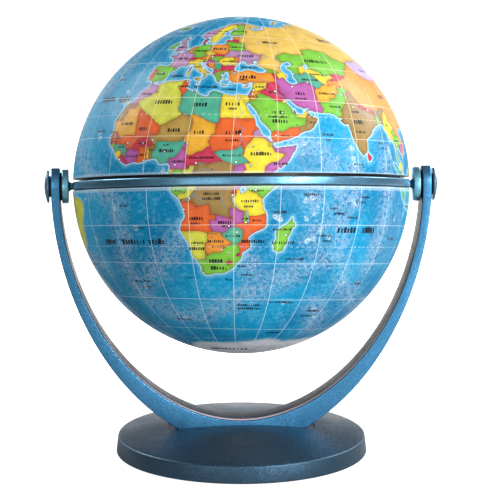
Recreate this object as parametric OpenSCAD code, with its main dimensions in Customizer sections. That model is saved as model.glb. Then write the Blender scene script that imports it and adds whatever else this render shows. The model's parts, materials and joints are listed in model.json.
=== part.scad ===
// Desktop globe on a gyro stand: a printed ball in an equator ring, the ring
// hung on two pivots between the ends of a U-shaped arm on a round base.
// X runs from pivot to pivot, +Z is up, the origin is under the base's middle.

/* [Globe] */
// Diameter of the ball over its printed skin
ball_d = 140; // [100:1:180]
// Thickness of the printed skin
skin_t = 0.3; // [0.2:0.05:0.6]
// Wall of the two moulded half shells
shell_wall = 1.8; // [1.2:0.1:3]
// Gap between the northern lip and the ring's upper face
north_gap = 1.2; // [0.3:0.05:3]
// Gap between the southern lip and the ring's lower face
south_gap = 0.4; // [0.3:0.05:3]
// Thickness of the flange inside each lip
flange_t = 1.8; // [1.2:0.1:3]
// Wall of the collar that clips the half shells together
collar_wall = 3.4; // [2.5:0.1:6]
// Height of the clip beads on the collar
bead_h = 0.8; // [0.5:0.1:1.5]
// How far the clip beads reach over the flanges
bead_reach = 0.6; // [0.3:0.05:1]

/* [Equator ring] */
// Height of the ring along the polar axis
ring_h = 3.4; // [2.8:0.1:5]
// Width of the ring from its bore to its rim
ring_w = 8.3; // [7:0.1:14]
// How far the ring's rim stands out of the ball
ring_proud = 0.3; // [0:0.05:2]
// Chamfer on the ring's outer edges
ring_chamfer = 0.4; // [0.1:0.05:0.8]
// Lean of the ring, front edge up, as the globe is shown
ring_lean = 10.7; // [-60:0.1:60]
// Width of the slip rings between the ring and the flanges
glide_w = 4; // [2:0.1:5]

/* [Pivots] */
// Diameter of the inner discs and of the arm's ends
disc_d = 14.3; // [10:0.1:16]
// Thickness of the inner discs
disc_t = 2.8; // [2:0.1:5]
// Length of the flared neck between a disc and the ring
neck_l = 1.3; // [0.8:0.1:4]
// Diameter of the neck where it meets the ring
neck_d = 3.1; // [2.8:0.1:3.3]
// Diameter of the neck where it meets the disc
neck_flare_d = 4; // [3.4:0.1:8]
// Diameter of the outer caps
cap_d = 13.8; // [9:0.1:16]
// Thickness of the outer caps at the crown
cap_t = 2.1; // [1.8:0.1:4]
// Thickness of the outer caps at the rim
cap_rim_t = 0.5; // [0.3:0.1:1]
// Gap between a disc and the arm, filled by a wave washer
inner_gap = 0.8; // [0.5:0.05:2]
// Diameter of the wave washers
inner_washer_d = 11.6; // [8:0.1:13]
// Gap between the arm and a cap, filled by a slip washer
outer_gap = 0.8; // [0.5:0.05:2]
// Diameter of the slip washers
outer_washer_d = 8.8; // [7.5:0.1:12]
// Diameter of the pivot bolts' shanks
bolt_d = 3.5; // [2.9:0.1:4.3]
// Diameter of the bolts' threaded tips
thread_d = 2; // [1.6:0.1:2.2]
// Length of thread inside the ring
thread_in_ring = 5; // [3:0.1:6]
// Depth of the bolt's shoulder inside the disc
shoulder_in_disc = 1.4; // [0.8:0.1:1.6]
// Diameter of the bolt heads
head_d = 6.4; // [5:0.1:7]
// Thickness of the bolt heads
head_t = 1.2; // [0.8:0.1:1.4]
// Outside diameter of the bushes
bush_d = 6.4; // [5.4:0.1:8]

/* [Arm] */
// Thickness of the arm at its ends
arm_t_end = 3.7; // [3:0.1:6]
// Thickness of the arm under the globe, before the foot is cut flat
arm_t_foot = 11.3; // [9:0.1:14]
// Depth of the arm from front to back
arm_depth = 14.3; // [13:0.1:16]
// Space under the ball down to the arm
under_gap = 29.3; // [16:0.1:50]
// Height of the arm's round ends above the pivots
end_rise = 0.55; // [0:0.05:3]
// Fullness of the arm's inner curve: 2 is an ellipse
inner_curve = 1.96; // [1.8:0.01:2.4]
// Fullness of the arm's outer curve
outer_curve = 1.88; // [1.8:0.01:2.1]
// Width of the groove where the two arm halves meet
seam_w = 0.4; // [0.2:0.05:1]
// Depth of that groove
seam_depth = 0.3; // [0.1:0.05:0.6]
// Diameter of the dowels between the arm halves
dowel_d = 2; // [1.5:0.1:2.4]
// Length of the dowels
dowel_l = 8; // [5:0.1:10]

/* [Base] */
// Diameter of the base at its foot
base_d = 106; // [96:1:150]
// How far the base's upper edge is set in from its foot
rim_taper = 0.7; // [0:0.1:3]
// Height of the base's upper edge
edge_z = 8; // [7:0.1:12]
// Height of the dome's crest
crest_z = 13.3; // [12.8:0.1:20]
// Wall of the base shell
base_wall = 2; // [1.6:0.1:2.4]
// Height of the arm's lowest inner point above the crest
arm_over = 1.7; // [1:0.1:6]
// Depth of the arm's seat below the crest
seat_drop = 2.4; // [2:0.1:3]
// Thickness of the floor under the arm's seat
seat_floor = 2.2; // [1.6:0.1:3]
// How far the foot pad stands below the shell
pad_proud = 0.6; // [0.3:0.1:2]
// Thickness of the foot pad
pad_t = 1; // [0.8:0.1:3]
// Bare edge of the bottom plate round the foot pad
pad_margin = 3; // [1:0.5:8]
// Thickness of the bottom plate
plate_t = 1.6; // [1.2:0.1:2]
// How far the ballast ring stays inside the plate's edge
ballast_margin = 4.8; // [4:0.1:8]
// Thickness of the ballast ring
ballast_t = 4; // [2:0.1:4.2]
// Diameter of the ballast ring's hole
ballast_hole_d = 40; // [36:1:50]

/* [Fasteners and fits] */
// Radial running clearance of every turning fit
run_gap = 0.05; // [0.02:0.01:0.1]
// Gap between flat faces that slide on each other
slide_gap = 0.05; // [0.02:0.01:0.2]
// Loose gap between fixed parts
loose_gap = 0.2; // [0.1:0.05:0.4]
// Thread diameter of the screws in the base
screw_d = 2.5; // [2:0.1:3]
// Hole for those screws to pass through
screw_hole_d = 3.2; // [3:0.1:3.6]
// Head diameter of the arm screws
arm_head_d = 5.5; // [4.5:0.1:6]
// Head height of the arm screws
arm_head_h = 2.2; // [1.5:0.1:2.4]
// Diameter of the arm screws' washers
arm_washer_d = 6.6; // [5:0.1:6.8]
// Thickness of those washers
arm_washer_t = 0.5; // [0.3:0.1:1]
// Length of arm screw inside the arm
arm_screw_bite = 4; // [3:0.1:4.5]
// Head diameter of the countersunk plate screws
plate_head_d = 5.6; // [5:0.1:6.5]
// Length of plate screw inside its boss
plate_screw_bite = 5; // [3:0.1:5.2]
// Diameter of the screw bosses
boss_d = 7; // [5:0.1:9]
// Clearance round the bosses in the ballast ring
boss_gap = 0.4; // [0.2:0.1:1]
// Radius of the circle the bosses stand on
boss_circle_r = 36; // [32:0.5:38]
// Number of plate screws
plate_screw_count = 3; // [3:1:6]

/* [Hidden] */
$fn = 96;
over = 1;            // how far a cut runs past a face

ball_r = ball_d / 2;
shell_r = ball_r - skin_t;
north_lip = ring_h / 2 + north_gap;
south_lip = ring_h / 2 + south_gap;
ring_r = ball_r + ring_proud;
ring_bore_r = ring_r - ring_w;
collar_r = ring_bore_r - run_gap;
spigot_r = collar_r - collar_wall / 2;
glide_r = ring_bore_r + loose_gap;

// distances from the middle along X, ring first, cap last
disc_x = ring_r + neck_l;
disc_out_x = disc_x + disc_t;
arm_in_x = disc_out_x + inner_gap;
arm_out_x = arm_in_x + arm_t_end;
cap_x = arm_out_x + outer_gap;

// the arm's curves are measured down from the pivots
arm_in_drop = ball_r + under_gap;
arm_out_drop = arm_in_drop + arm_t_foot;
pivot_z = crest_z + arm_over + arm_in_drop;
end_r = arm_depth / 2;
curve_step = 3;

base_r = base_d / 2;
base_top_r = base_r - rim_taper;
dome_sag = crest_z - edge_z;
dome_r = (base_top_r * base_top_r + dome_sag * dome_sag) / (2 * dome_sag);
seat_z = crest_z - seat_drop;
plate_z = pad_t;
plate_top_z = plate_z + plate_t;
plate_r = base_r - base_wall - loose_gap;
pad_r = plate_r - pad_margin;
ballast_r = plate_r - ballast_margin;

// the foot's half width is where the outer curve meets the seat
foot_x = arm_out_x * pow(1 - pow((pivot_z - seat_z) / arm_out_drop, outer_curve), 1 / outer_curve);
arm_screw_x = foot_x / 2;
arm_screw_y = arm_depth / 4;
dowel_angles = [36, 60, 120, 144];

left = -1;
right = 1;

// ---- placing ----

// stands its children on the right or left pivot axis, +Z turned outwards
module on_pivot(side) {
    translate([0, 0, pivot_z]) rotate([0, 90 * side, 0]) children();
}

// carries the leaning parts: the ring and the ball
module leaned() {
    translate([0, 0, pivot_z]) rotate([-ring_lean, 0, 0]) children();
}

module pivot_tube(side, x0, x1, r) {
    on_pivot(side) translate([0, 0, x0]) cylinder(r = r, h = x1 - x0);
}

module washer(side, x0, x1, d) {
    difference() {
        pivot_tube(side, x0, x1, d / 2);
        pivot_tube(side, x0 - over, x1 + over, bolt_d / 2);
    }
}

module at_bosses() {
    for (i = [0 : plate_screw_count - 1])
        rotate([0, 0, 90 + i * 360 / plate_screw_count])
            translate([boss_circle_r, 0, 0]) children();
}

module at_arm_screws() {
    for (sx = [-1, 1], sy = [-1, 1])
        translate([sx * arm_screw_x, sy * arm_screw_y, 0]) children();
}

// ---- base ----

module base_half_profile(wall) {
    intersection() {
        polygon([[0, pad_proud], [base_r - wall, pad_proud],
            [base_top_r - wall, edge_z], [base_top_r - wall, crest_z], [0, crest_z]]);
        translate([0, crest_z - dome_r]) circle(r = dome_r - wall, $fn = 360);
    }
}

// the thick part of the top that carries the arm's foot
module seat_block() {
    x = foot_x + base_wall;
    y = arm_depth / 2 + base_wall;
    translate([-x, -y, seat_z - seat_floor]) cube([2 * x, 2 * y, crest_z]);
}

// the pocket the foot stands in, its ends sloped like the arm's outer curve
module foot_pocket() {
    y = (arm_depth + loose_gap) / 2;
    intersection() {
        arm_slab(-y, y, -loose_gap / 2);
        translate([-base_r, -base_r, seat_z]) cube([base_d, base_d, crest_z]);
    }
}

module base_shell() {
    color("#2f4f6a") difference() {
        intersection() {
            rotate_extrude() base_half_profile(0);
            union() {
                difference() {
                    cylinder(r = base_r + over, h = crest_z + over);
                    rotate_extrude() base_half_profile(base_wall);
                }
                at_bosses() translate([0, 0, plate_top_z]) cylinder(d = boss_d, h = crest_z);
                seat_block();
            }
        }
        translate([0, 0, pad_proud - over]) cylinder(r = base_r - base_wall, h = over);
        foot_pocket();
        at_bosses() cylinder(d = screw_d, h = plate_top_z + plate_screw_bite);
        at_arm_screws() cylinder(d = screw_hole_d, h = crest_z);
    }
}

module plate_screw() {
    translate([0, 0, plate_z]) cylinder(d1 = plate_head_d, d2 = screw_d, h = plate_t);
    translate([0, 0, plate_z]) cylinder(d = screw_d, h = plate_t + plate_screw_bite);
}

module base_plate() {
    color("#7d8288") difference() {
        translate([0, 0, plate_z]) cylinder(r = plate_r, h = plate_t);
        at_bosses() plate_screw();
    }
}

module ballast() {
    color("#4a4a4a") difference() {
        translate([0, 0, plate_top_z]) cylinder(r = ballast_r, h = ballast_t);
        cylinder(d = ballast_hole_d, h = crest_z);
        at_bosses() cylinder(d = boss_d + 2 * boss_gap, h = crest_z);
    }
}

module foot_pad() {
    color("#1d1d1f") cylinder(r = pad_r, h = pad_t);
}

module plate_screws() {
    color("#b9bcc0") at_bosses() plate_screw();
}

// ---- arm ----

// a point of one of the arm's curves: 0 at the right pivot, 90 at the bottom
function curve_point(angle, half_x, drop, fullness) = [
    half_x * sign(cos(angle)) * pow(abs(cos(angle)), 2 / fullness),
    -drop * pow(abs(sin(angle)), 2 / fullness)];

function outer_point(angle, inset) =
    curve_point(angle, arm_out_x - inset, arm_out_drop - inset, outer_curve);

function inner_point(angle, inset) =
    curve_point(angle, arm_in_x + inset, arm_in_drop + inset, inner_curve);

module arm_outline(inset) {
    top = end_rise + end_r - inset;
    polygon(concat(
        [[arm_out_x - inset, top]],
        [for (a = [0 : curve_step : 180]) outer_point(a, inset)],
        [[-arm_out_x + inset, top], [-arm_in_x - inset, top]],
        [for (a = [180 : -curve_step : 0]) inner_point(a, inset)],
        [[arm_in_x + inset, top]]));
}

// the outline as a slab between two distances behind the middle plane
module arm_slab(y0, y1, inset) {
    translate([0, y1, pivot_z]) rotate([90, 0, 0]) linear_extrude(y1 - y0) arm_outline(inset);
}

// the side view of the arm: straight below, round at the top
module arm_side_envelope() {
    translate([-arm_out_x - over, 0, 0]) rotate([90, 0, 90])
        linear_extrude(2 * (arm_out_x + over)) {
            translate([-end_r, seat_z]) square([arm_depth, pivot_z + end_rise - seat_z]);
            translate([0, pivot_z + end_rise]) circle(r = end_r);
        }
}

module at_dowels() {
    for (a = dowel_angles) {
        p = (outer_point(a, 0) + inner_point(a, 0)) / 2;
        translate([p[0], 0, pivot_z + p[1]]) rotate([90, 0, 0]) children();
    }
}

module arm_half(side) {
    y_face = side * arm_depth / 2;
    y_step = side * seam_w / 2;
    difference() {
        intersection() {
            union() {
                arm_slab(min(y_face, y_step), max(y_face, y_step), 0);
                arm_slab(min(y_step, 0), max(y_step, 0), seam_depth);
            }
            arm_side_envelope();
        }
        for (s = [left, right]) {
            pivot_tube(s, arm_in_x - over, arm_out_x + over, bush_d / 2);
            pivot_tube(s, disc_out_x, arm_in_x, inner_washer_d / 2 + loose_gap);
        }
        at_dowels() cylinder(d = dowel_d, h = dowel_l, center = true);
        at_arm_screws() translate([0, 0, seat_z - over])
            cylinder(d = screw_d, h = over + arm_screw_bite);
    }
}

module arm_front() {
    color("#4a86b4") arm_half(-1);
}

module arm_back() {
    color("#4a86b4") arm_half(1);
}

module arm_dowels() {
    color("#c9c9c4") at_dowels() cylinder(d = dowel_d, h = dowel_l, center = true);
}

module arm_screws() {
    head_top_z = seat_z - seat_floor - arm_washer_t;
    color("#b9bcc0") at_arm_screws() {
        translate([0, 0, head_top_z - arm_head_h]) cylinder(d = arm_head_d, h = arm_head_h);
        translate([0, 0, head_top_z])
            cylinder(d = screw_d, h = arm_washer_t + seat_floor + arm_screw_bite);
    }
}

module arm_screw_washers() {
    color("#9a9da1") at_arm_screws() translate([0, 0, seat_z - seat_floor - arm_washer_t])
        difference() {
            cylinder(d = arm_washer_d, h = arm_washer_t);
            translate([0, 0, -over]) cylinder(d = screw_d, h = arm_washer_t + 2 * over);
        }
}

module bush(side) {
    color("#d8d5cc") difference() {
        pivot_tube(side, arm_in_x, arm_out_x, bush_d / 2);
        pivot_tube(side, arm_in_x - over, arm_out_x + over, bolt_d / 2 + run_gap);
    }
}

module left_bush() bush(left);

module right_bush() bush(right);

// ---- ring and pivots ----

module equator_ring() {
    half_h = ring_h / 2;
    color("#3f7fb0") difference() {
        leaned() rotate_extrude($fn = 180) polygon([
            [ring_bore_r, -half_h], [ring_r - ring_chamfer, -half_h],
            [ring_r, -half_h + ring_chamfer], [ring_r, half_h - ring_chamfer],
            [ring_r - ring_chamfer, half_h], [ring_bore_r, half_h]]);
        for (s = [left, right])
            pivot_tube(s, ring_r - thread_in_ring, ring_r + over, thread_d / 2);
    }
}

module pivot_disc(side) {
    color("#24425c") difference() {
        union() {
            pivot_tube(side, disc_x, disc_out_x, disc_d / 2);
            intersection() {
                on_pivot(side) translate([0, 0, ring_r - over]) cylinder(
                    d1 = neck_d, d2 = neck_flare_d, h = disc_x - ring_r + over);
                leaned() difference() {
                    cylinder(r = disc_x + over, h = ring_h, center = true);
                    cylinder(r = ring_r, h = ring_h + over, center = true);
                }
            }
            pivot_tube(side, disc_x - neck_l / 2, disc_x, neck_flare_d / 2);
        }
        pivot_tube(side, ring_r - over, disc_out_x + over, thread_d / 2);
        pivot_tube(side, disc_out_x - shoulder_in_disc, disc_out_x + over, bolt_d / 2);
    }
}

module left_pivot_disc() pivot_disc(left);

module right_pivot_disc() pivot_disc(right);

module pivot_bolt(side) {
    shoulder_x = disc_out_x - shoulder_in_disc;
    color("#c8cacd") {
        pivot_tube(side, ring_r - thread_in_ring, shoulder_x, thread_d / 2);
        pivot_tube(side, shoulder_x, cap_x, bolt_d / 2);
        pivot_tube(side, cap_x, cap_x + head_t, head_d / 2);
    }
}

module left_pivot_bolt() pivot_bolt(left);

module right_pivot_bolt() pivot_bolt(right);

module pivot_cap(side) {
    rise = cap_t - cap_rim_t;
    crown_r = (pow(cap_d / 2, 2) + rise * rise) / (2 * rise);
    color("#24425c") difference() {
        on_pivot(side) translate([0, 0, cap_x]) intersection() {
            cylinder(d = cap_d, h = cap_t);
            translate([0, 0, cap_t - crown_r]) sphere(r = crown_r, $fn = 180);
        }
        pivot_tube(side, cap_x - over, cap_x + head_t, head_d / 2);
    }
}

module left_pivot_cap() pivot_cap(left);

module right_pivot_cap() pivot_cap(right);

module left_wave_washer()
    color("#b9bcc0") washer(left, disc_out_x, arm_in_x - slide_gap, inner_washer_d);

module right_wave_washer()
    color("#b9bcc0") washer(right, disc_out_x, arm_in_x - slide_gap, inner_washer_d);

module left_slip_washer()
    color("#1d1d1f") washer(left, arm_out_x + slide_gap, cap_x, outer_washer_d);

module right_slip_washer()
    color("#1d1d1f") washer(right, arm_out_x + slide_gap, cap_x, outer_washer_d);

module glide_ring(z0, z1) {
    leaned() rotate_extrude($fn = 180)
        translate([glide_r, z0]) square([glide_w, z1 - z0]);
}

module upper_glide_ring()
    color("#1d1d1f") glide_ring(ring_h / 2, north_lip - slide_gap);

module lower_glide_ring()
    color("#1d1d1f") glide_ring(-south_lip + slide_gap, -ring_h / 2);

// ---- ball ----

module snap_collar() {
    bead_r = spigot_r + bead_reach;
    in_r = collar_r - collar_wall;
    north_top = north_lip + flange_t;
    south_top = -south_lip - flange_t;
    color("#26262a") leaned() rotate_extrude($fn = 180) polygon([
        [in_r, south_top - bead_h], [spigot_r, south_top - bead_h], [bead_r, south_top - bead_h / 2],
        [bead_r, south_top], [spigot_r, south_top], [spigot_r, -south_lip],
        [collar_r, -south_lip], [collar_r, north_lip],
        [spigot_r, north_lip], [spigot_r, north_top], [bead_r, north_top],
        [bead_r, north_top + bead_h / 2], [spigot_r, north_top + bead_h], [in_r, north_top + bead_h]]);
}

// everything beyond the lip, as a half plane for the turned profiles
module above_lip(lip) {
    translate([0, lip]) square([ball_r + over, ball_r]);
}

module shell_profile(lip) {
    intersection() {
        above_lip(lip);
        difference() {
            circle(r = shell_r, $fn = 360);
            difference() {
                circle(r = shell_r - shell_wall, $fn = 360);
                translate([spigot_r, lip]) square([ball_r, flange_t]);
            }
        }
    }
}

module skin_profile(lip) {
    intersection() {
        above_lip(lip);
        difference() {
            circle(r = ball_r, $fn = 360);
            circle(r = shell_r, $fn = 360);
        }
    }
}

module north_shell()
    color("#e9e7e1") leaned() rotate_extrude($fn = 180) shell_profile(north_lip);

module south_shell()
    color("#e9e7e1") leaned() mirror([0, 0, 1]) rotate_extrude($fn = 180) shell_profile(south_lip);

module north_map_skin()
    color("#1f8fc4") leaned() rotate_extrude($fn = 180) skin_profile(north_lip);

module south_map_skin()
    color("#1f8fc4") leaned() mirror([0, 0, 1]) rotate_extrude($fn = 180) skin_profile(south_lip);

base_shell();
base_plate();
ballast();
foot_pad();
plate_screws();
arm_front();
arm_back();
arm_dowels();
arm_screws();
arm_screw_washers();
left_bush();
right_bush();
equator_ring();
left_pivot_disc();
right_pivot_disc();
left_pivot_bolt();
right_pivot_bolt();
left_pivot_cap();
right_pivot_cap();
left_wave_washer();
right_wave_washer();
left_slip_washer();
right_slip_washer();
upper_glide_ring();
lower_glide_ring();
snap_collar();
north_shell();
south_shell();
north_map_skin();
south_map_skin();
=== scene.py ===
"""The looks of a desk globe: a printed ball held in a ring, which turns in a bowed arm on a round base."""

import json
import math
import bpy
import numpy as np
from mathutils import Matrix, Vector, noise
from mathutils.geometry import delaunay_2d_cdt
from mathutils.kdtree import KDTree


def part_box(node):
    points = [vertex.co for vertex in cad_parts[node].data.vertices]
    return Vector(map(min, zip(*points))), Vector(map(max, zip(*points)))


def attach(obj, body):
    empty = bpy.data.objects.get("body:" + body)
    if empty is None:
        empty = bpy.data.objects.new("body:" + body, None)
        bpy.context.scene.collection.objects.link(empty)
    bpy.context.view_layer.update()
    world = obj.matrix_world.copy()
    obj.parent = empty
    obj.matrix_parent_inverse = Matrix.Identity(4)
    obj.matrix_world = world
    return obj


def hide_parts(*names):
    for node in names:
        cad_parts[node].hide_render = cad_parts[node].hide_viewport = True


MM = 0.001
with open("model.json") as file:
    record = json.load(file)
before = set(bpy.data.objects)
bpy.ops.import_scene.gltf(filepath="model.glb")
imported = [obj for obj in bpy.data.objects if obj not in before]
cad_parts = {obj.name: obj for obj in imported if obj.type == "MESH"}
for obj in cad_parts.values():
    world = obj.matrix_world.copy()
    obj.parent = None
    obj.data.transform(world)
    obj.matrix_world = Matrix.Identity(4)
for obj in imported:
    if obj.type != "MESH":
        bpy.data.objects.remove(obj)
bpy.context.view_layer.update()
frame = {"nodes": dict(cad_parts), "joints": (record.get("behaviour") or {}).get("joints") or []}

# ---- sizes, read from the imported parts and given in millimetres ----


def low(node):
    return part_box(node)[0] / MM


def high(node):
    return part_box(node)[1] / MM


spin_axis = next(Vector(j["axis"]) for j in frame["joints"] if j["name"] == "globe_spin")
LEAN = math.atan2(spin_axis.y, spin_axis.z)
PIVOT_Z = (low("left_pivot_disc").z + high("left_pivot_disc").z) / 2
CENTRE = Vector((0, 0, PIVOT_Z))
BALL_R = 70.0
SKIN_T = 0.3
RING_R = high("equator_ring").x
RING_W = 8.3
RING_BORE_R = RING_R - RING_W
RING_H = 3.4
# how far each half's print stops from the middle plane of the ring
NORTH_LIP = 2.9
SOUTH_LIP = 2.1
NECK_L = 1.3
DISC_X = RING_R + NECK_L
DISC_OUT_X = low("right_wave_washer").x
DISC_R = 7.15
CAP_X = high("right_slip_washer").x
CAP_OUT_X = high("right_pivot_cap").x
CAP_R = 6.9
ARM_IN_X = low("right_bush").x
ARM_OUT_X = high("right_bush").x
# the arm's curves: how far they drop below the pivots, and how square they are (2 is an ellipse)
ARM_IN_DROP = 99.3
ARM_OUT_DROP = 110.6
ARM_IN_FULLNESS = 1.96
ARM_OUT_FULLNESS = 1.88
ARM_DEPTH = 14.3
END_RISE = 0.55
SEAT_Z = low("arm_front").z
BUSH_R = 3.2
SPOT_FACE_R = 6.0
BASE_R = high("base_shell").x
BASE_FOOT_Z = low("base_shell").z
EDGE_R = 52.3
EDGE_Z = 8.0
CREST_Z = high("base_shell").z
BASE_WALL = 2.0
SCREW_HEAD_H = 4.0
CEILING_Z = low("arm_screws").z + SCREW_HEAD_H


# ---- modelling helpers ----


def deselect():
    if bpy.context.object and bpy.context.object.mode != "OBJECT":
        bpy.ops.object.mode_set(mode="OBJECT")
    bpy.ops.object.select_all(action="DESELECT")


def pick(obj):
    deselect()
    obj.select_set(True)
    bpy.context.view_layer.objects.active = obj
    return obj


def apply_place(obj):
    pick(obj)
    bpy.ops.object.transform_apply(location=True, rotation=True, scale=True)
    return obj


def apply_modifiers(obj):
    pick(obj)
    for name in [m.name for m in obj.modifiers]:
        bpy.ops.object.modifier_apply(modifier=name)
    return obj


def smooth(obj, degrees=35):
    pick(obj)
    bpy.ops.object.shade_smooth_by_angle(angle=math.radians(degrees))
    return obj


def outward(obj):
    pick(obj)
    bpy.ops.object.mode_set(mode="EDIT")
    bpy.ops.mesh.select_all(action="SELECT")
    bpy.ops.mesh.normals_make_consistent(inside=False)
    bpy.ops.object.mode_set(mode="OBJECT")
    return obj


def turned(name, outline, sides=192, ring=False):
    """A turned piece about Z from (radius, height) pairs in mm; a ring joins its last pair to its first."""
    deselect()
    radius, height = outline[0]
    bpy.ops.mesh.primitive_circle_add(vertices=sides, radius=radius * MM, location=(0, 0, height * MM))
    obj = apply_place(bpy.context.object)
    obj.name = name
    bpy.ops.object.mode_set(mode="EDIT")
    bpy.ops.mesh.select_all(action="SELECT")
    for r, z in outline[1:]:
        rise = (0, 0, (z - height) * MM)
        bpy.ops.mesh.extrude_edges_move(TRANSFORM_OT_translate={"value": rise})
        scale = r / radius
        bpy.ops.transform.resize(value=(scale, scale, 1), center_override=(0, 0, z * MM))
        radius, height = r, z
    bpy.ops.mesh.select_all(action="DESELECT")
    bpy.ops.mesh.select_mode(type="EDGE")
    bpy.ops.mesh.select_non_manifold()
    if ring:
        bpy.ops.mesh.bridge_edge_loops()
    else:
        bpy.ops.mesh.fill_holes(sides=0)
    bpy.ops.object.mode_set(mode="OBJECT")
    return outward(obj)


def arc(centre_r, centre_z, radius, start, end, steps=4):
    """Points of a quarter round or other arc, angles in degrees from straight out."""
    angles = [math.radians(start + (end - start) * i / steps) for i in range(steps + 1)]
    return [(centre_r + radius * math.cos(a), centre_z + radius * math.sin(a)) for a in angles]


def place(obj, turn, at):
    obj.matrix_world = Matrix.Translation(at * MM) @ turn
    return apply_place(obj)


def on_pivot(obj, side):
    """Turns a piece made about Z onto the left or the right pivot."""
    return place(obj, Matrix.Rotation(side * math.pi / 2, 4, "Y"), CENTRE)


def leaned(obj):
    """Tips a piece made about Z with the ball's axis."""
    return place(obj, Matrix.Rotation(-LEAN, 4, "X"), CENTRE)


def cut(obj, tool):
    """Takes the tool away from the piece, and the tool itself goes."""
    modifier = obj.modifiers.new("cut", "BOOLEAN")
    modifier.operation = "DIFFERENCE"
    modifier.solver = "EXACT"
    modifier.object = tool
    apply_modifiers(obj)
    bpy.data.objects.remove(tool)
    return obj


def shown(obj, body, slot, material, *nodes):
    """Puts the piece on its body, with its finish, in place of the named parts."""
    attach(obj, body)
    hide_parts(*nodes)
    obj.data.materials.clear()
    obj.data.materials.append(material)
    return obj


# ---- base ----


def dome_height(r, crest=None):
    """Height of the base's domed top at a distance from the middle."""
    sag = CREST_Z - EDGE_Z
    dome_r = (EDGE_R * EDGE_R + sag * sag) / (2 * sag)
    return (crest or CREST_Z) - dome_r + math.sqrt(dome_r * dome_r - r * r)


def arm_half_x(z, inset=0.0):
    """Half width of the arm's outer curve at a height."""
    share = ((PIVOT_Z - z) / (ARM_OUT_DROP - inset)) ** ARM_OUT_FULLNESS
    return (ARM_OUT_X - inset) * (1 - share) ** (1 / ARM_OUT_FULLNESS)


def base_shell():
    foot_round = 0.5
    rim_round = 0.9
    outline = [(BASE_R - BASE_WALL, BASE_FOOT_Z)]
    outline += arc(BASE_R - foot_round, BASE_FOOT_Z + foot_round, foot_round, -90, 0)
    outline += arc(EDGE_R - rim_round, EDGE_Z - rim_round + 0.05, rim_round, 4, 80, 6)
    outline += [(r, dome_height(r)) for r in (50.4, 48, 44, 39, 33, 26, 19, 12, 6, 1)]
    solid = turned("base_shell_looks", outline)
    hollow_top = CREST_Z - BASE_WALL
    hollow = [(BASE_R - BASE_WALL, BASE_FOOT_Z - 1)]
    hollow += [(r, dome_height(r, hollow_top)) for r in (EDGE_R - BASE_WALL, 45, 40, 35, 31)]
    hollow += [(30, CEILING_Z), (1, CEILING_Z)]
    solid = cut(solid, turned("hollow", hollow))
    return smooth(cut(solid, foot_pocket()), 30)


def foot_pocket():
    """A block the size of the arm's foot, narrowed towards its top as the arm is."""
    deselect()
    bpy.ops.mesh.primitive_cube_add(size=1)
    pocket = bpy.context.object
    margin = 0.1
    top_z = CREST_Z + 1
    bottom_x = arm_half_x(SEAT_Z, -margin)
    size = [v * MM for v in (2 * bottom_x, ARM_DEPTH + 2 * margin, top_z - SEAT_Z)]
    middle = Matrix.Translation((0, 0, (SEAT_Z + top_z) / 2 * MM))
    pocket.matrix_world = middle @ Matrix.Diagonal((*size, 1))
    apply_place(pocket)
    for vertex in pocket.data.vertices:
        vertex.select = vertex.co.z > CREST_Z * MM
    bpy.ops.object.mode_set(mode="EDIT")
    bpy.ops.transform.resize(value=(arm_half_x(top_z, -margin) / bottom_x, 1, 1), center_override=(0, 0, 0))
    bpy.ops.object.mode_set(mode="OBJECT")
    return pocket


# ---- arm ----


def curve_point(angle, half_x, drop, fullness):
    """A point of one of the arm's curves: 0 degrees at the right pivot, 90 at the bottom, 180 at the left."""
    c = math.cos(math.radians(angle))
    s = math.sin(math.radians(angle))
    x = math.copysign(half_x * abs(c) ** (2 / fullness), c)
    return x, PIVOT_Z - drop * abs(s) ** (2 / fullness)


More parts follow.
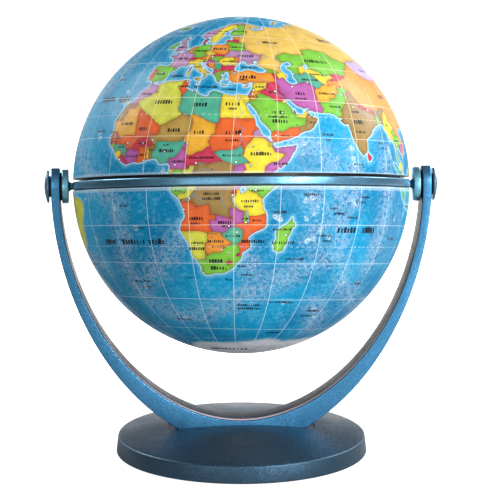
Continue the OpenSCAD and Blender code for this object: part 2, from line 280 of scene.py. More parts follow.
def arm_half(name, side):
    """One half of the arm: its cross-section, rounded at the face, carried from the left end to the right."""
    edge_round = 0.5
    seam_y = 0.2
    seam_depth = 0.3
    end_r = ARM_DEPTH / 2
    end_z = PIVOT_Z + END_RISE
    steps = 4
    turns = [math.pi / 2 * i / steps for i in range(steps, -1, -1)]
    rounding = [(edge_round * (1 - math.sin(t)), edge_round * (1 - math.cos(t))) for t in turns]
    # inset from the curve, inset from the flat face, and a seam point's distance from the middle or None
    flank = [(seam_depth, seam_depth, 0.0), (seam_depth, seam_depth, seam_y), (0.0, 0.0, seam_y)]
    flank += [(e, d, None) for e, d in rounding]

    def section(kind, value):
        """The cross-section at an angle of the curve, or at a turn of the round end above a pivot."""
        points = []
        for outer in (True, False):
            row = []
            for inset, face_inset, seam in flank:
                half_x = ARM_OUT_X - inset if outer else ARM_IN_X + inset
                drop = ARM_OUT_DROP - inset if outer else ARM_IN_DROP + inset
                fullness = ARM_OUT_FULLNESS if outer else ARM_IN_FULLNESS
                reach = end_r - face_inset
                if kind == "curve":
                    x, z = curve_point(value, half_x, drop, fullness)
                    z = max(z, SEAT_Z)
                    y = reach if seam is None else seam
                else:
                    turn = math.radians(abs(value))
                    x = math.copysign(half_x, value)
                    z = end_z + reach * math.sin(turn)
                    y = max(reach * math.cos(turn), seam_y) if seam is None else seam
                row.append(Vector((x, side * y, z)) * MM)
            points += row if outer else row[::-1]
        return points

    round_turns = [0.01, 12, 24, 36, 47, 57, 66, 74, 81, 86, 88.3]
    stations = [("end", -t) for t in reversed(round_turns)]
    stations += [("curve", 180 - a) for a in np.linspace(0, 180, 73)]
    stations += [("end", t) for t in round_turns]
    deselect()
    first = section(*stations[0])
    bpy.ops.mesh.primitive_circle_add(vertices=len(first), radius=1, fill_type="NGON")
    obj = bpy.context.object
    obj.name = name
    for vertex, point in zip(obj.data.vertices, first):
        vertex.co = point
    for station in stations[1:]:
        bpy.ops.object.mode_set(mode="EDIT")
        bpy.ops.mesh.extrude_region_move()
        bpy.ops.object.mode_set(mode="OBJECT")
        new = [v for v in obj.data.vertices if v.select]
        for vertex, point in zip(new, section(*station)):
            vertex.co = point
    outward(obj)
    for radius, half in ((BUSH_R, ARM_OUT_X + 1), (SPOT_FACE_R, ARM_IN_X)):
        deselect()
        bpy.ops.mesh.primitive_cylinder_add(vertices=48, radius=radius * MM, depth=2 * half * MM,
                                            rotation=(0, math.pi / 2, 0), location=CENTRE * MM)
        cut(obj, apply_place(bpy.context.object))
    return smooth(obj, 30)


# ---- ring and pivots ----


def equator_ring():
    r = 0.55
    half = RING_H / 2
    outline = arc(RING_R - r, -half + r, r, -90, 0) + arc(RING_R - r, half - r, r, 0, 90)
    outline += arc(RING_BORE_R + r, half - r, r, 90, 180) + arc(RING_BORE_R + r, -half + r, r, 180, 270)
    obj = turned("equator_ring_looks", outline, sides=256, ring=True)
    return smooth(leaned(obj), 40)


def pivot_disc(name, side):
    """A flat disc with rounded rims, and the short neck that flares into it from the ring."""
    r = 0.45
    hole_r = 1.0
    neck_r = 1.55
    neck_foot = RING_R - 0.6
    boss_r = 1.8
    boss_x = DISC_OUT_X - 1.5
    outline = [(hole_r, neck_foot), (neck_r, neck_foot), (neck_r, RING_R + 0.1), (1.65, RING_R + 0.6)]
    outline += [(1.95, DISC_X - 0.35), (2.6, DISC_X)]
    outline += arc(DISC_R - r, DISC_X + r, r, -90, 0) + arc(DISC_R - r, DISC_OUT_X - r, r, 0, 90)
    outline += [(boss_r, DISC_OUT_X), (boss_r - 0.05, boss_x), (hole_r, boss_x)]
    obj = turned(name, outline, sides=96, ring=True)
    return smooth(on_pivot(obj, side), 35)


def pivot_cap(name, side):
    """A low domed cap with a rounded rim, closed flat behind."""
    rim = 0.45
    head_r = 5.1 / 2
    outline = [(head_r, CAP_X), (CAP_R - 0.3, CAP_X)]
    outline += arc(CAP_R - rim, CAP_X + 0.5, rim, -35, 60)
    start_r, start_x = outline[-1]
    for t in (0.2, 0.4, 0.6, 0.8, 0.98):
        outline.append((start_r * (1 - t), start_x + (CAP_OUT_X - start_x) * (1 - (1 - t) ** 2)))
    obj = turned(name, outline, sides=96)
    return smooth(on_pivot(obj, side), 35)


# ---- the printed map: outlines as longitude and latitude in degrees ----

COASTS = {
    "africa": """
        -5.9 35.8, -5.3 35.9, -4.3 35.2, -3 35.3, -2.2 35.1, -1 35.7, 0 35.9, 1.3 36.5, 3 36.9, 5.3 36.7,
        7.5 37, 8.6 36.9, 9.8 37.3, 10.3 36.8, 11 37.1, 10.6 36.3, 10.8 35.6, 11.1 35.2, 10.6 34.5,
        10.1 34.1, 10.3 33.8, 11.1 33.5, 11.5 33.1, 12.5 32.8, 13.2 32.9, 15.2 32.4, 15.6 31.5, 17 30.9,
        18.5 30.4, 19.2 30.3, 20 30.9, 20 32, 21 32.8, 22.5 32.8, 23.2 32.3, 24.9 31.9, 25.2 31.6,
        27.2 31.3, 29 30.9, 30.3 31.3, 31.1 31.6, 32.3 31.3, 32.6 30, 33 28.8, 33.8 27.4, 34.3 26,
        35.2 24.5, 35.7 23.5, 36.9 22, 37.2 20.9, 37.3 19.5, 38.5 18.1, 39.5 15.6, 40.5 15, 41.2 14.6,
        42.5 13.2, 43.1 12.6, 43.3 12, 42.6 11.5, 43.2 11.5, 44.5 10.4, 46 10.7, 48 11.1, 49.5 11.3,
        51.2 11.9, 51.1 10.5, 50.8 9.4, 49.8 7.9, 48.9 5.8, 48 4.5, 46.5 2.8, 45.3 2, 44 1, 42.7 -0.5,
        41.6 -1.7, 40.9 -2.3, 40.1 -3.3, 39.6 -4.1, 39.2 -4.7, 38.8 -6, 39.4 -6.9, 39.3 -8, 39.6 -9.2,
        40.4 -10.5, 40.6 -12, 40.6 -14, 40.7 -15, 39.9 -16.3, 38.2 -17.2, 36.9 -17.9, 35.5 -19,
        34.8 -19.8, 35.2 -21.5, 35.5 -22.2, 35.5 -23.8, 34.2 -24.8, 32.9 -25.5, 32.6 -26, 32.9 -26.9,
        32.5 -28.3, 31.3 -29.6, 30.2 -31.2, 28.3 -32.8, 27 -33.6, 25.6 -34, 23.5 -34, 22 -34.2, 20 -34.8,
        18.9 -34.3, 18.4 -34.1, 18.3 -33.3, 17.9 -32.6, 18.3 -31.8, 17.3 -30.2, 16.5 -28.6, 15.7 -27.8,
        15.1 -26.5, 14.9 -25, 14.5 -23.5, 14.4 -22.5, 13.4 -20.5, 12.5 -18.6, 11.8 -17.3, 11.8 -16,
        12.4 -14.5, 13.3 -12.8, 13.8 -11, 13.2 -9.3, 13.2 -8.6, 12.8 -7, 12.3 -6.1, 12.2 -5.8, 12 -5,
        11.2 -3.9, 9.8 -2.6, 9 -1.2, 8.8 -0.6, 9.3 0.5, 9.5 1, 9.8 2.3, 9.6 3.8, 8.9 4.5, 8.3 4.6, 7 4.4,
        6 4.3, 5.3 5.2, 4.6 6.3, 3.4 6.4, 2.7 6.3, 1.6 6.2, 1.2 6.1, 0 5.6, -2 4.8, -3.1 5.1, -4.5 5.2,
        -6 4.8, -7.5 4.3, -9 5, -10.8 6.3, -11.5 6.9, -12.5 7.5, -13.2 8.5, -13.3 9.1, -13.9 9.8,
        -15 10.9, -15.8 11.6, -16.7 12.4, -16.8 13.1, -16.8 13.6, -17 14.2, -17.5 14.7, -16.5 16,
        -16.2 17.8, -16.3 19.2, -17 20.9, -16.2 22.5, -15.8 23.8, -14.8 25.2, -14.4 26.3, -13 27.7,
        -11.5 28.4, -10 29.6, -9.7 31, -9.2 32.4, -7.6 33.6, -6.6 34.3""",
    "eurasia": """
        32.3 31.3, 33.8 31.1, 34.3 31.3, 35 32.8, 35.2 33.1, 35.9 34.6, 35.8 35.9, 36.2 36.7, 34.6 36.8,
        33.7 36.1, 32.3 36.1, 30.7 36.9, 30.4 36.3, 29.2 36.3, 28.2 36.7, 27.3 37, 26.3 38.2, 26.8 39,
        26.1 39.5, 26.1 40.7, 24.5 40.9, 23.8 40.7, 24.2 40, 23.3 40.2, 22.7 40.5, 22.6 39.9, 23.2 39.1,
        23 38.8, 24 38.2, 24.1 37.7, 23.2 37.9, 22.9 37.4, 23.1 36.5, 22.4 36.5, 21.8 36.8, 21.3 37.7,
        21.2 38.3, 20.7 38.9, 20 39.6, 19.3 40.5, 19.5 41.6, 19.2 42, 18.4 42.5, 17 43, 15.9 43.7,
        15 44.4, 14.8 45.2, 14 45, 13.6 45.3, 13.8 45.7, 12.4 45.3, 12.4 44.3, 13.6 43.5, 14.3 42.4,
        16.1 41.9, 16 41.5, 17.9 40.7, 18.5 40.1, 17.9 40.2, 17 40.5, 16.6 39.8, 17.1 39, 16.5 38.4,
        15.7 38, 16 38.9, 15.6 40, 14.4 40.7, 12.8 41.3, 12.2 41.9, 11.1 42.4, 10.4 43.2, 10.2 44,
        8.8 44.4, 7.5 43.8, 6.5 43.1, 4.8 43.4, 3.1 43.1, 3.1 42.4, 2.2 41.4, 0.8 40.8, -0.3 39.5,
        0.1 38.7, -0.7 37.7, -2 36.8, -4.4 36.7, -5.6 36, -6.3 36.7, -7.4 37.2, -8.9 37, -8.8 38.4,
        -9.4 38.8, -8.8 40.5, -8.8 41.9, -9.2 43.1, -8 43.7, -4.5 43.4, -1.8 43.4, -1.2 44.6, -1.2 46,
        -2.5 47.3, -4.7 48, -4.7 48.6, -1.6 48.6, -1.9 49.7, -1.2 49.4, 0.2 49.6, 1.6 50.3, 1.7 50.9,
        2.6 51.1, 3.5 51.4, 4.2 52.1, 4.8 53, 7 53.4, 8.5 53.7, 8.9 54, 8.6 54.9, 8.1 55.6, 8.2 57,
        10.5 57.7, 10.3 56.5, 9.6 55.3, 9.9 54.8, 11 54.2, 13.5 54.4, 14.2 53.9, 16.5 54.5, 18.7 54.5,
        19.8 54.4, 21.2 55.3, 21 56.1, 21 56.9, 22 57.6, 23.5 57, 24.4 57.8, 23.5 58.8, 25 59.5, 28 59.5,
        30 60, 28 60.6, 25 60.2, 22.8 59.9, 21.4 61, 21.4 62.8, 24 64.5, 25.4 65.1, 24.1 65.8, 22 65.5,
        21.5 64.4, 19 63.1, 17.3 61.5, 17.2 60.7, 18.8 59.9, 17.8 58.9, 16.6 57.5, 16 56.2, 14.3 55.5,
        12.9 55.5, 12.6 56.3, 11.9 57.6, 11.2 59, 10.6 59.3, 8.2 58.1, 5.7 58.7, 5 60.4, 5.3 62, 8.5 63.4,
        10.5 64.5, 12.5 66, 14.5 67.8, 17 69, 21 70.1, 25.5 71, 31 70.2, 33 69.4, 37 68.6, 41 67.5,
        40.5 66.3, 35 66.6, 32.8 67, 34.5 65, 37 64, 38 64.5, 40 65, 40.3 64.6, 43 66.2, 44 67, 44 68.4,
        46.5 68, 48 67.6, 53.5 68.3, 60 69, 61 69.7, 65 69.2, 67 70.5, 67 72, 69 72.8, 72.8 72.7, 72.5 71,
        73.5 68.5, 74 71.5, 75 72.6, 80 73.5, 87 75, 95 76, 100 76.4, 104 77.6, 112 76.5, 113 75.5,
        110 74, 113 73.7, 123 73, 127 73.4, 129 71, 132 71.6, 140 72.6, 150 71.5, 160 69.8, 170 69.8,
        180 69, 190 66.3, 187 65.5, 182 65.5, 179 64.5, 177.5 64.7, 179 62.5, 174 61.8, 170 60, 165 60,
        163 59.8, 163 57, 162 55, 160 53.2, 157 51, 155.8 54, 156 57, 158 58, 162 61, 160 61.8, 155 59.4,
        150 59.5, 143 59.3, 138 56, 135.3 54.7, 138 54, 141 53, 140.5 50, 140.4 48, 136 44.5, 132 43.2,
        130.6 42.3, 129.7 41, 127.5 39.8, 128.5 38.5, 129.4 36, 129 35.2, 126.5 34.4, 126.5 36.5,
        126.2 37.8, 125 38, 125 39.5, 124.3 40, 121.5 39, 121 40.8, 118 39, 118.5 37.8, 122.5 37.2,
        120 35.8, 119.3 34.8, 121.8 31.7, 121.8 30, 120 27, 118 24.5, 114.2 22.3, 110.5 21.2, 110 20.4,
        109.8 21.5, 108 21.5, 106.6 20.2, 105.8 18.8, 108.3 16, 109.3 13, 109 11.4, 106.8 10.4, 105 8.7,
        104.5 10.4, 103.5 10.6, 102.8 11.8, 100.9 12.8, 100.3 13.5, 99.9 12, 99.2 10.2, 100.3 8.3,
        102 6.3, 103.3 4.5, 103.5 2, 103.8 1.3, 101.3 2.9, 100.3 5, 100 6.4, 98.4 8, 98.6 10, 98.7 12.5,
        97.6 15.5, 96.2 16, 94.5 16, 94.3 18.5, 92.5 21, 91.5 22.7, 90.5 22.1, 89 21.8, 87 21, 85 19.5,
        82.3 16.6, 80.3 15.3, 80.2 13, 79.8 10.5, 79 9.3, 78.2 8.8, 77.5 8.1, 76.4 9.8, 74.8 12.8,
        73.5 16, 72.8 19, 72.7 21, 72.2 21.2, 70.8 20.8, 69 22.3, 70.3 23, 68.2 23.7, 66.7 24.9,
        64.5 25.3, 61.7 25.1, 59 25.4, 57.2 26, 56.8 27.1, 54.5 26.6, 52 27.8, 50.8 29, 50 30.2, 48.6 30,
        48 30, 48.4 28.6, 49.6 27.2, 50.2 26.2, 50.8 24.8, 51.2 26, 51.6 25, 51.5 24.3, 54 24.1,
        55.5 25.5, 56.3 26.3, 56.4 24.9, 57.2 23.9, 58.7 23.6, 59.8 22.5, 58.6 20.5, 57.8 19, 56.5 18,
        55.2 17.6, 53.1 16.7, 52 15.6, 49 14.2, 45 12.8, 43.5 12.7, 42.8 14.5, 42.8 16.4, 41 19,
        39.1 21.3, 38 23.8, 37 25.5, 35.5 27.8, 34.7 28.1, 34.9 29.5, 34.3 27.8, 33.2 28.6, 32.6 30""",
    "north_america": """
        -77.9 7.2, -80.3 7.5, -83 8.4, -85.7 10, -87.5 13, -92 14.5, -95 16.2, -100 17, -105.5 20.2,
        -105.5 22.5, -109.4 26, -112.5 30, -114.8 31.8, -114.4 30, -111 25, -109.5 23, -112 25, -115 28,
        -117.1 32.5, -120.6 34.5, -124.3 40.4, -124 46.3, -124.6 48.3, -123 49, -128 51, -130.5 54.8,
        -135 58.3, -141 60, -148 60.8, -152 59, -158 56.5, -164 54.6, -158 58.6, -165 60.8, -165 64.5,
        -168 65.7, -162 66.5, -166.5 68.4, -156.5 71.3, -141 69.7, -128 70.2, -115 68, -108 68, -95 68.5,
        -94 72, -84 69.5, -87 67.5, -86 66, -93.5 62, -94.8 59, -92.5 57, -82.3 55.2, -80 51.3, -78.7 52,
        -77 56, -78 60, -78 62.5, -70 61, -64.5 60.3, -61 56, -56 52.5, -60 50.2, -66.5 50.2, -65 48.5,
        -64.5 46.3, -60.5 46.5, -66 43.6, -67 45, -70 43.5, -70.2 41.8, -74 40.6, -75.8 36.8, -81 32,
        -80.2 25.8, -82.5 28, -84 30, -89.5 30, -94.5 29.5, -97.3 27.5, -97.2 25.9, -97.7 22.5,
        -94.8 18.3, -91 18.7, -90.3 21, -87 21.4, -88.3 17, -88.3 15.8, -83.3 15, -83.7 11, -81.5 9,
        -79.5 9.5, -77.5 8.5""",
    "south_america": """
        -77.5 8.5, -75.5 10.5, -72 12.2, -71.5 11, -68 11, -64 10.2, -61.8 10, -60 8.5, -57 6, -54 5.8,
        -51.5 4.2, -50 1.5, -48.5 -1, -44.5 -2.7, -41.5 -2.9, -38.5 -3.8, -35.3 -5.2, -34.8 -7.5,
        -36.5 -10.5, -38.5 -13, -39 -16.5, -39.8 -19.5, -41 -22, -43.5 -23, -46.5 -24.2, -48.6 -26.2,
        -50 -29.5, -53.5 -33.7, -54.9 -34.9, -58.4 -34, -57 -36.5, -62 -39, -65 -41, -63.8 -42.5,
        -67.5 -46, -65.8 -47.8, -69 -51, -68.5 -52.5, -65.2 -54.7, -68 -55.6, -72 -54, -75 -52,
        -75.5 -48.5, -74 -44, -73.7 -41.5, -73.3 -37.2, -71.5 -33, -70.2 -26, -70.3 -18.4, -76 -14,
        -77.2 -12, -79.5 -7.5, -81.2 -5, -80.3 -3.4, -80.9 -1, -79 1.5, -77.5 4, -77.9 7.2""",
    "australia": """
        130.8 -12.4, 132.6 -11.4, 136.8 -12.2, 135.5 -15, 138 -16.7, 140 -17.6, 141.6 -12.6, 142.5 -10.7,
        143.8 -14.4, 146.3 -18.9, 149.5 -22, 153 -25, 153.5 -28.2, 150.8 -34.5, 149.9 -37.5, 146.4 -39.1,
        143.5 -38.8, 141 -38, 138.5 -35.5, 137.8 -32.7, 136 -34.9, 134 -32.8, 131 -31.5, 129 -31.7,
        126 -32.3, 123.5 -34, 118 -35, 115 -34.2, 115.7 -31.5, 113.5 -26, 113.8 -22.5, 117 -20.7,
        121 -19.6, 122.3 -17.3, 125 -15, 127.5 -14.2, 129 -14.9""",
    # its last point is its first, once round
    "antarctica": """
        -195 -78, -180 -78, -160 -77.5, -150 -76, -130 -74, -100 -73, -75 -73, -68 -68, -58 -63.5,
        -62 -67, -61 -74, -45 -78, -30 -76, -15 -72, 0 -69.8, 20 -70, 40 -68.5, 55 -66.2, 70 -68.5,
        80 -67.5, 95 -66.3, 115 -66.7, 135 -66.2, 150 -68.4, 165 -71, 165 -78""",
    "greenland": """
        -73 78, -58 75.8, -54 71, -51 69, -54 67, -51 64, -48 61, -43.5 60, -42 62.5, -37 66, -27 68.3,
        -22 70.5, -20 74, -18 77, -20 80, -30 83.3, -50 82.5, -65 80.5""",
    "madagascar": """
        49.3 -12, 50.4 -15.5, 49.7 -16, 49 -18.5, 47.8 -22.5, 47 -25, 45.5 -25.5, 44 -24.8, 43.4 -22.5,
        44.4 -20, 44.2 -17, 45.8 -15.9, 47.5 -14.7, 48.7 -13.3""",
    "great_britain": """
        -5.5 50.1, -3.5 50.3, -2 50.6, 1.2 51.1, 0.6 51.5, 1.7 52.6, 0.3 53, -0.2 54.2, -1.6 55.2, -3 56,
        -1.9 57.6, -4 57.6, -3.1 58.6, -5 58.6, -6 57, -5.5 55.6, -4.8 54.8, -3 54.4, -3.1 53.3, -4.6 53,
        -4.3 52.2, -5.1 51.7, -3 51.4""",
    "ireland": "-6.2 53.3, -6.4 52.2, -10 51.6, -9.9 53.4, -8.5 54.4, -7.4 55.3, -5.6 54.6",
    "iceland": "-22.5 64, -24 65.5, -22 66.4, -16 66.5, -13.6 65, -18.5 63.4",
    "sicily": "12.5 38, 15.5 38.2, 15.1 36.7, 12.5 37.6",
    "sardinia": "8.2 40.9, 9.7 41, 9.5 39.1, 8.4 39",
    "corsica": "9.4 43, 9.5 41.5, 8.6 42",
    "crete": "23.6 35.5, 26.3 35.2, 25 34.9, 23.6 35.2",
    "cyprus": "32.3 34.9, 34.5 35.6, 33.9 34.9, 32.6 34.6",
    "sri_lanka": "79.8 9.6, 81.9 7.5, 81.2 6.2, 80 6, 79.7 8",
    "novaya_zemlya": "52 71, 55.5 71, 57 72.8, 68 76.6, 60 75.8, 55 73.3",
    "svalbard": "11 79.5, 17 76.7, 25 79, 27 80, 15 80",
    "honshu": """
        130.9 34, 136.8 37, 139.5 40, 141.3 41.4, 142 39.6, 140.9 36, 139.8 35, 137 34.6, 135.7 33.5,
        133 34.3""",
    "kyushu": "130 33.5, 131.7 33.6, 131.3 31.4, 130.2 31.3",
    "hokkaido": "140 42, 141.8 45.4, 145.3 43.5, 143.2 42",
    "sakhalin": "142 46, 142 54, 143.4 52, 143 49",
    "taiwan": "121 25.2, 121.9 25, 120.9 22, 120.1 23",
    "luzon": "120.5 18.5, 122.2 18.4, 121.6 16, 124 13, 121 13.8, 120 15.5",
    "mindanao": "122.2 7, 125.5 9.7, 126.5 7.5, 125.5 6",
    "borneo": """
        109.6 1.9, 111.5 2.7, 113.5 3.8, 116.8 7, 119.2 5.2, 117.6 4.2, 118 1, 116.3 -3.9, 114.5 -4,
        111.5 -3.3, 110 -1.5, 109 0.5""",
    "sumatra": """
        95.3 5.6, 97.5 5.2, 100.5 2.2, 103.7 -0.5, 106 -3, 105.8 -5.8, 102.3 -4, 100.3 -1, 98.7 1.7""",
    "java": "105.3 -6.8, 108.5 -6.7, 110.9 -6.4, 114.4 -7.8, 114.4 -8.7, 108.5 -7.8",
    "sulawesi": """
        120 0.8, 124.8 1.5, 121 0.4, 121.8 -1, 123.2 -4.5, 122 -5, 121 -2.7, 120.3 -5.5, 119.5 -3.5""",
    "new_guinea": """
        131 -0.8, 134 -0.8, 135 -3.2, 138 -1.8, 141 -2.6, 145 -4.4, 147.5 -6, 147.8 -8, 150.5 -10.5,
        147 -9.5, 143.5 -8.5, 141 -9, 138 -8.3, 138.5 -6.5, 135.5 -4.4, 132.8 -4, 132.5 -2.7""",
    "tasmania": "144.7 -40.8, 148.3 -40.9, 147.5 -43.4, 145.8 -43.2",
    "new_zealand_north": """
        172.7 -34.5, 175.5 -36.8, 178.4 -37.7, 176.9 -39.4, 175 -41.4, 173.8 -39.3, 174.8 -37.5""",
    "new_zealand_south": """
        172.7 -40.6, 174.3 -41.7, 172.7 -43.7, 170.7 -45.9, 168.5 -46.6, 166.5 -45.8, 170.5 -43""",
    "baffin": "-61.5 66.5, -67 62.5, -78 64.5, -73 68, -88 70.5, -89.5 73.7, -80 73.7, -68 70.3",
    "victoria_island": "-117 69.5, -105 69, -105 73, -117 73",
    "ellesmere": "-90 76.5, -78 76.5, -62 82.5, -75 83, -92 81",
    "banks": "-125 72, -120 71.5, -118 75, -124 74.3",
    "newfoundland": "-59.3 47.7, -53 46.8, -55.8 51.5",
    "cuba": "-84.8 22, -80 23.1, -74.2 20.2, -77.5 19.9, -81 22",
    "hispaniola": "-74.3 18.4, -73 19.9, -68.5 18.5, -71.5 17.7",
}

LAKES = {
    "black_sea": """
        29.1 41.2, 28 42, 27.7 42.6, 28.6 43.7, 28.7 44.4, 29.7 45.2, 30.8 46.4, 32.5 46.1, 33.6 46,
        32.6 45.4, 33.6 44.5, 35.3 45, 36.5 45.1, 35 46.3, 38.3 47.1, 39 47, 38 46.2, 37.6 45.6, 37 44.9,
        38 44.4, 39.7 43.5, 41.5 42.5, 41.6 41.5, 39.5 41.1, 38 41, 36 41.7, 35 42, 33 42, 31.4 41.3""",
    "marmara": "27.2 40.5, 28 41, 29 41, 29 40.5, 27.9 40.3",
    "caspian": """
        47.5 43, 47.5 44.8, 49 46.3, 51 47, 53 46.8, 53 45.3, 51 44.5, 50.3 44.3, 51.5 43.2, 52.7 42.6,
        52.5 41.7, 54 41.8, 52.8 41, 53 39.5, 53.8 38.5, 53.9 37, 51.5 36.6, 50 37.4, 48.9 38.4,
        49.3 39.5, 50.2 40.4, 49.2 41, 48 42""",
    "aral": "58.5 44.5, 58.5 45.5, 59 46.2, 61 46.5, 61 44.4, 59.5 43.6",
    "victoria": "31.7 -0.5, 32.5 0.3, 33.9 0.2, 33.9 -1, 33.6 -2.2, 32 -2.6, 31.7 -1",
    "tanganyika": "29.1 -3.4, 29.5 -4.4, 29.7 -6, 30.7 -7.5, 31.1 -8.7, 30.7 -8.3, 29.4 -6, 29.1 -4.5",
    "malawi_lake": "34 -9.5, 34.7 -11.5, 34.9 -13.5, 34.5 -14.5, 34.2 -12, 33.9 -10",
    "chad_lake": "13.6 13.7, 14.3 13.4, 14.2 12.5, 13.6 13",
    "turkana": "36 4.5, 36.4 3.4, 36.1 2.8, 35.8 3.6",
    "baikal": "104 51.6, 106 52.5, 109 54.5, 110 55.7, 108.5 53.2, 106 51.8",
    "superior": "-92 46.8, -88 48.6, -84.7 47, -87 46.6",
    "michigan": "-87.5 41.7, -88 44.5, -85.5 45.8, -86.3 43",
    "huron": "-84 46, -80.5 45.6, -82 43.2, -83.7 44",
}

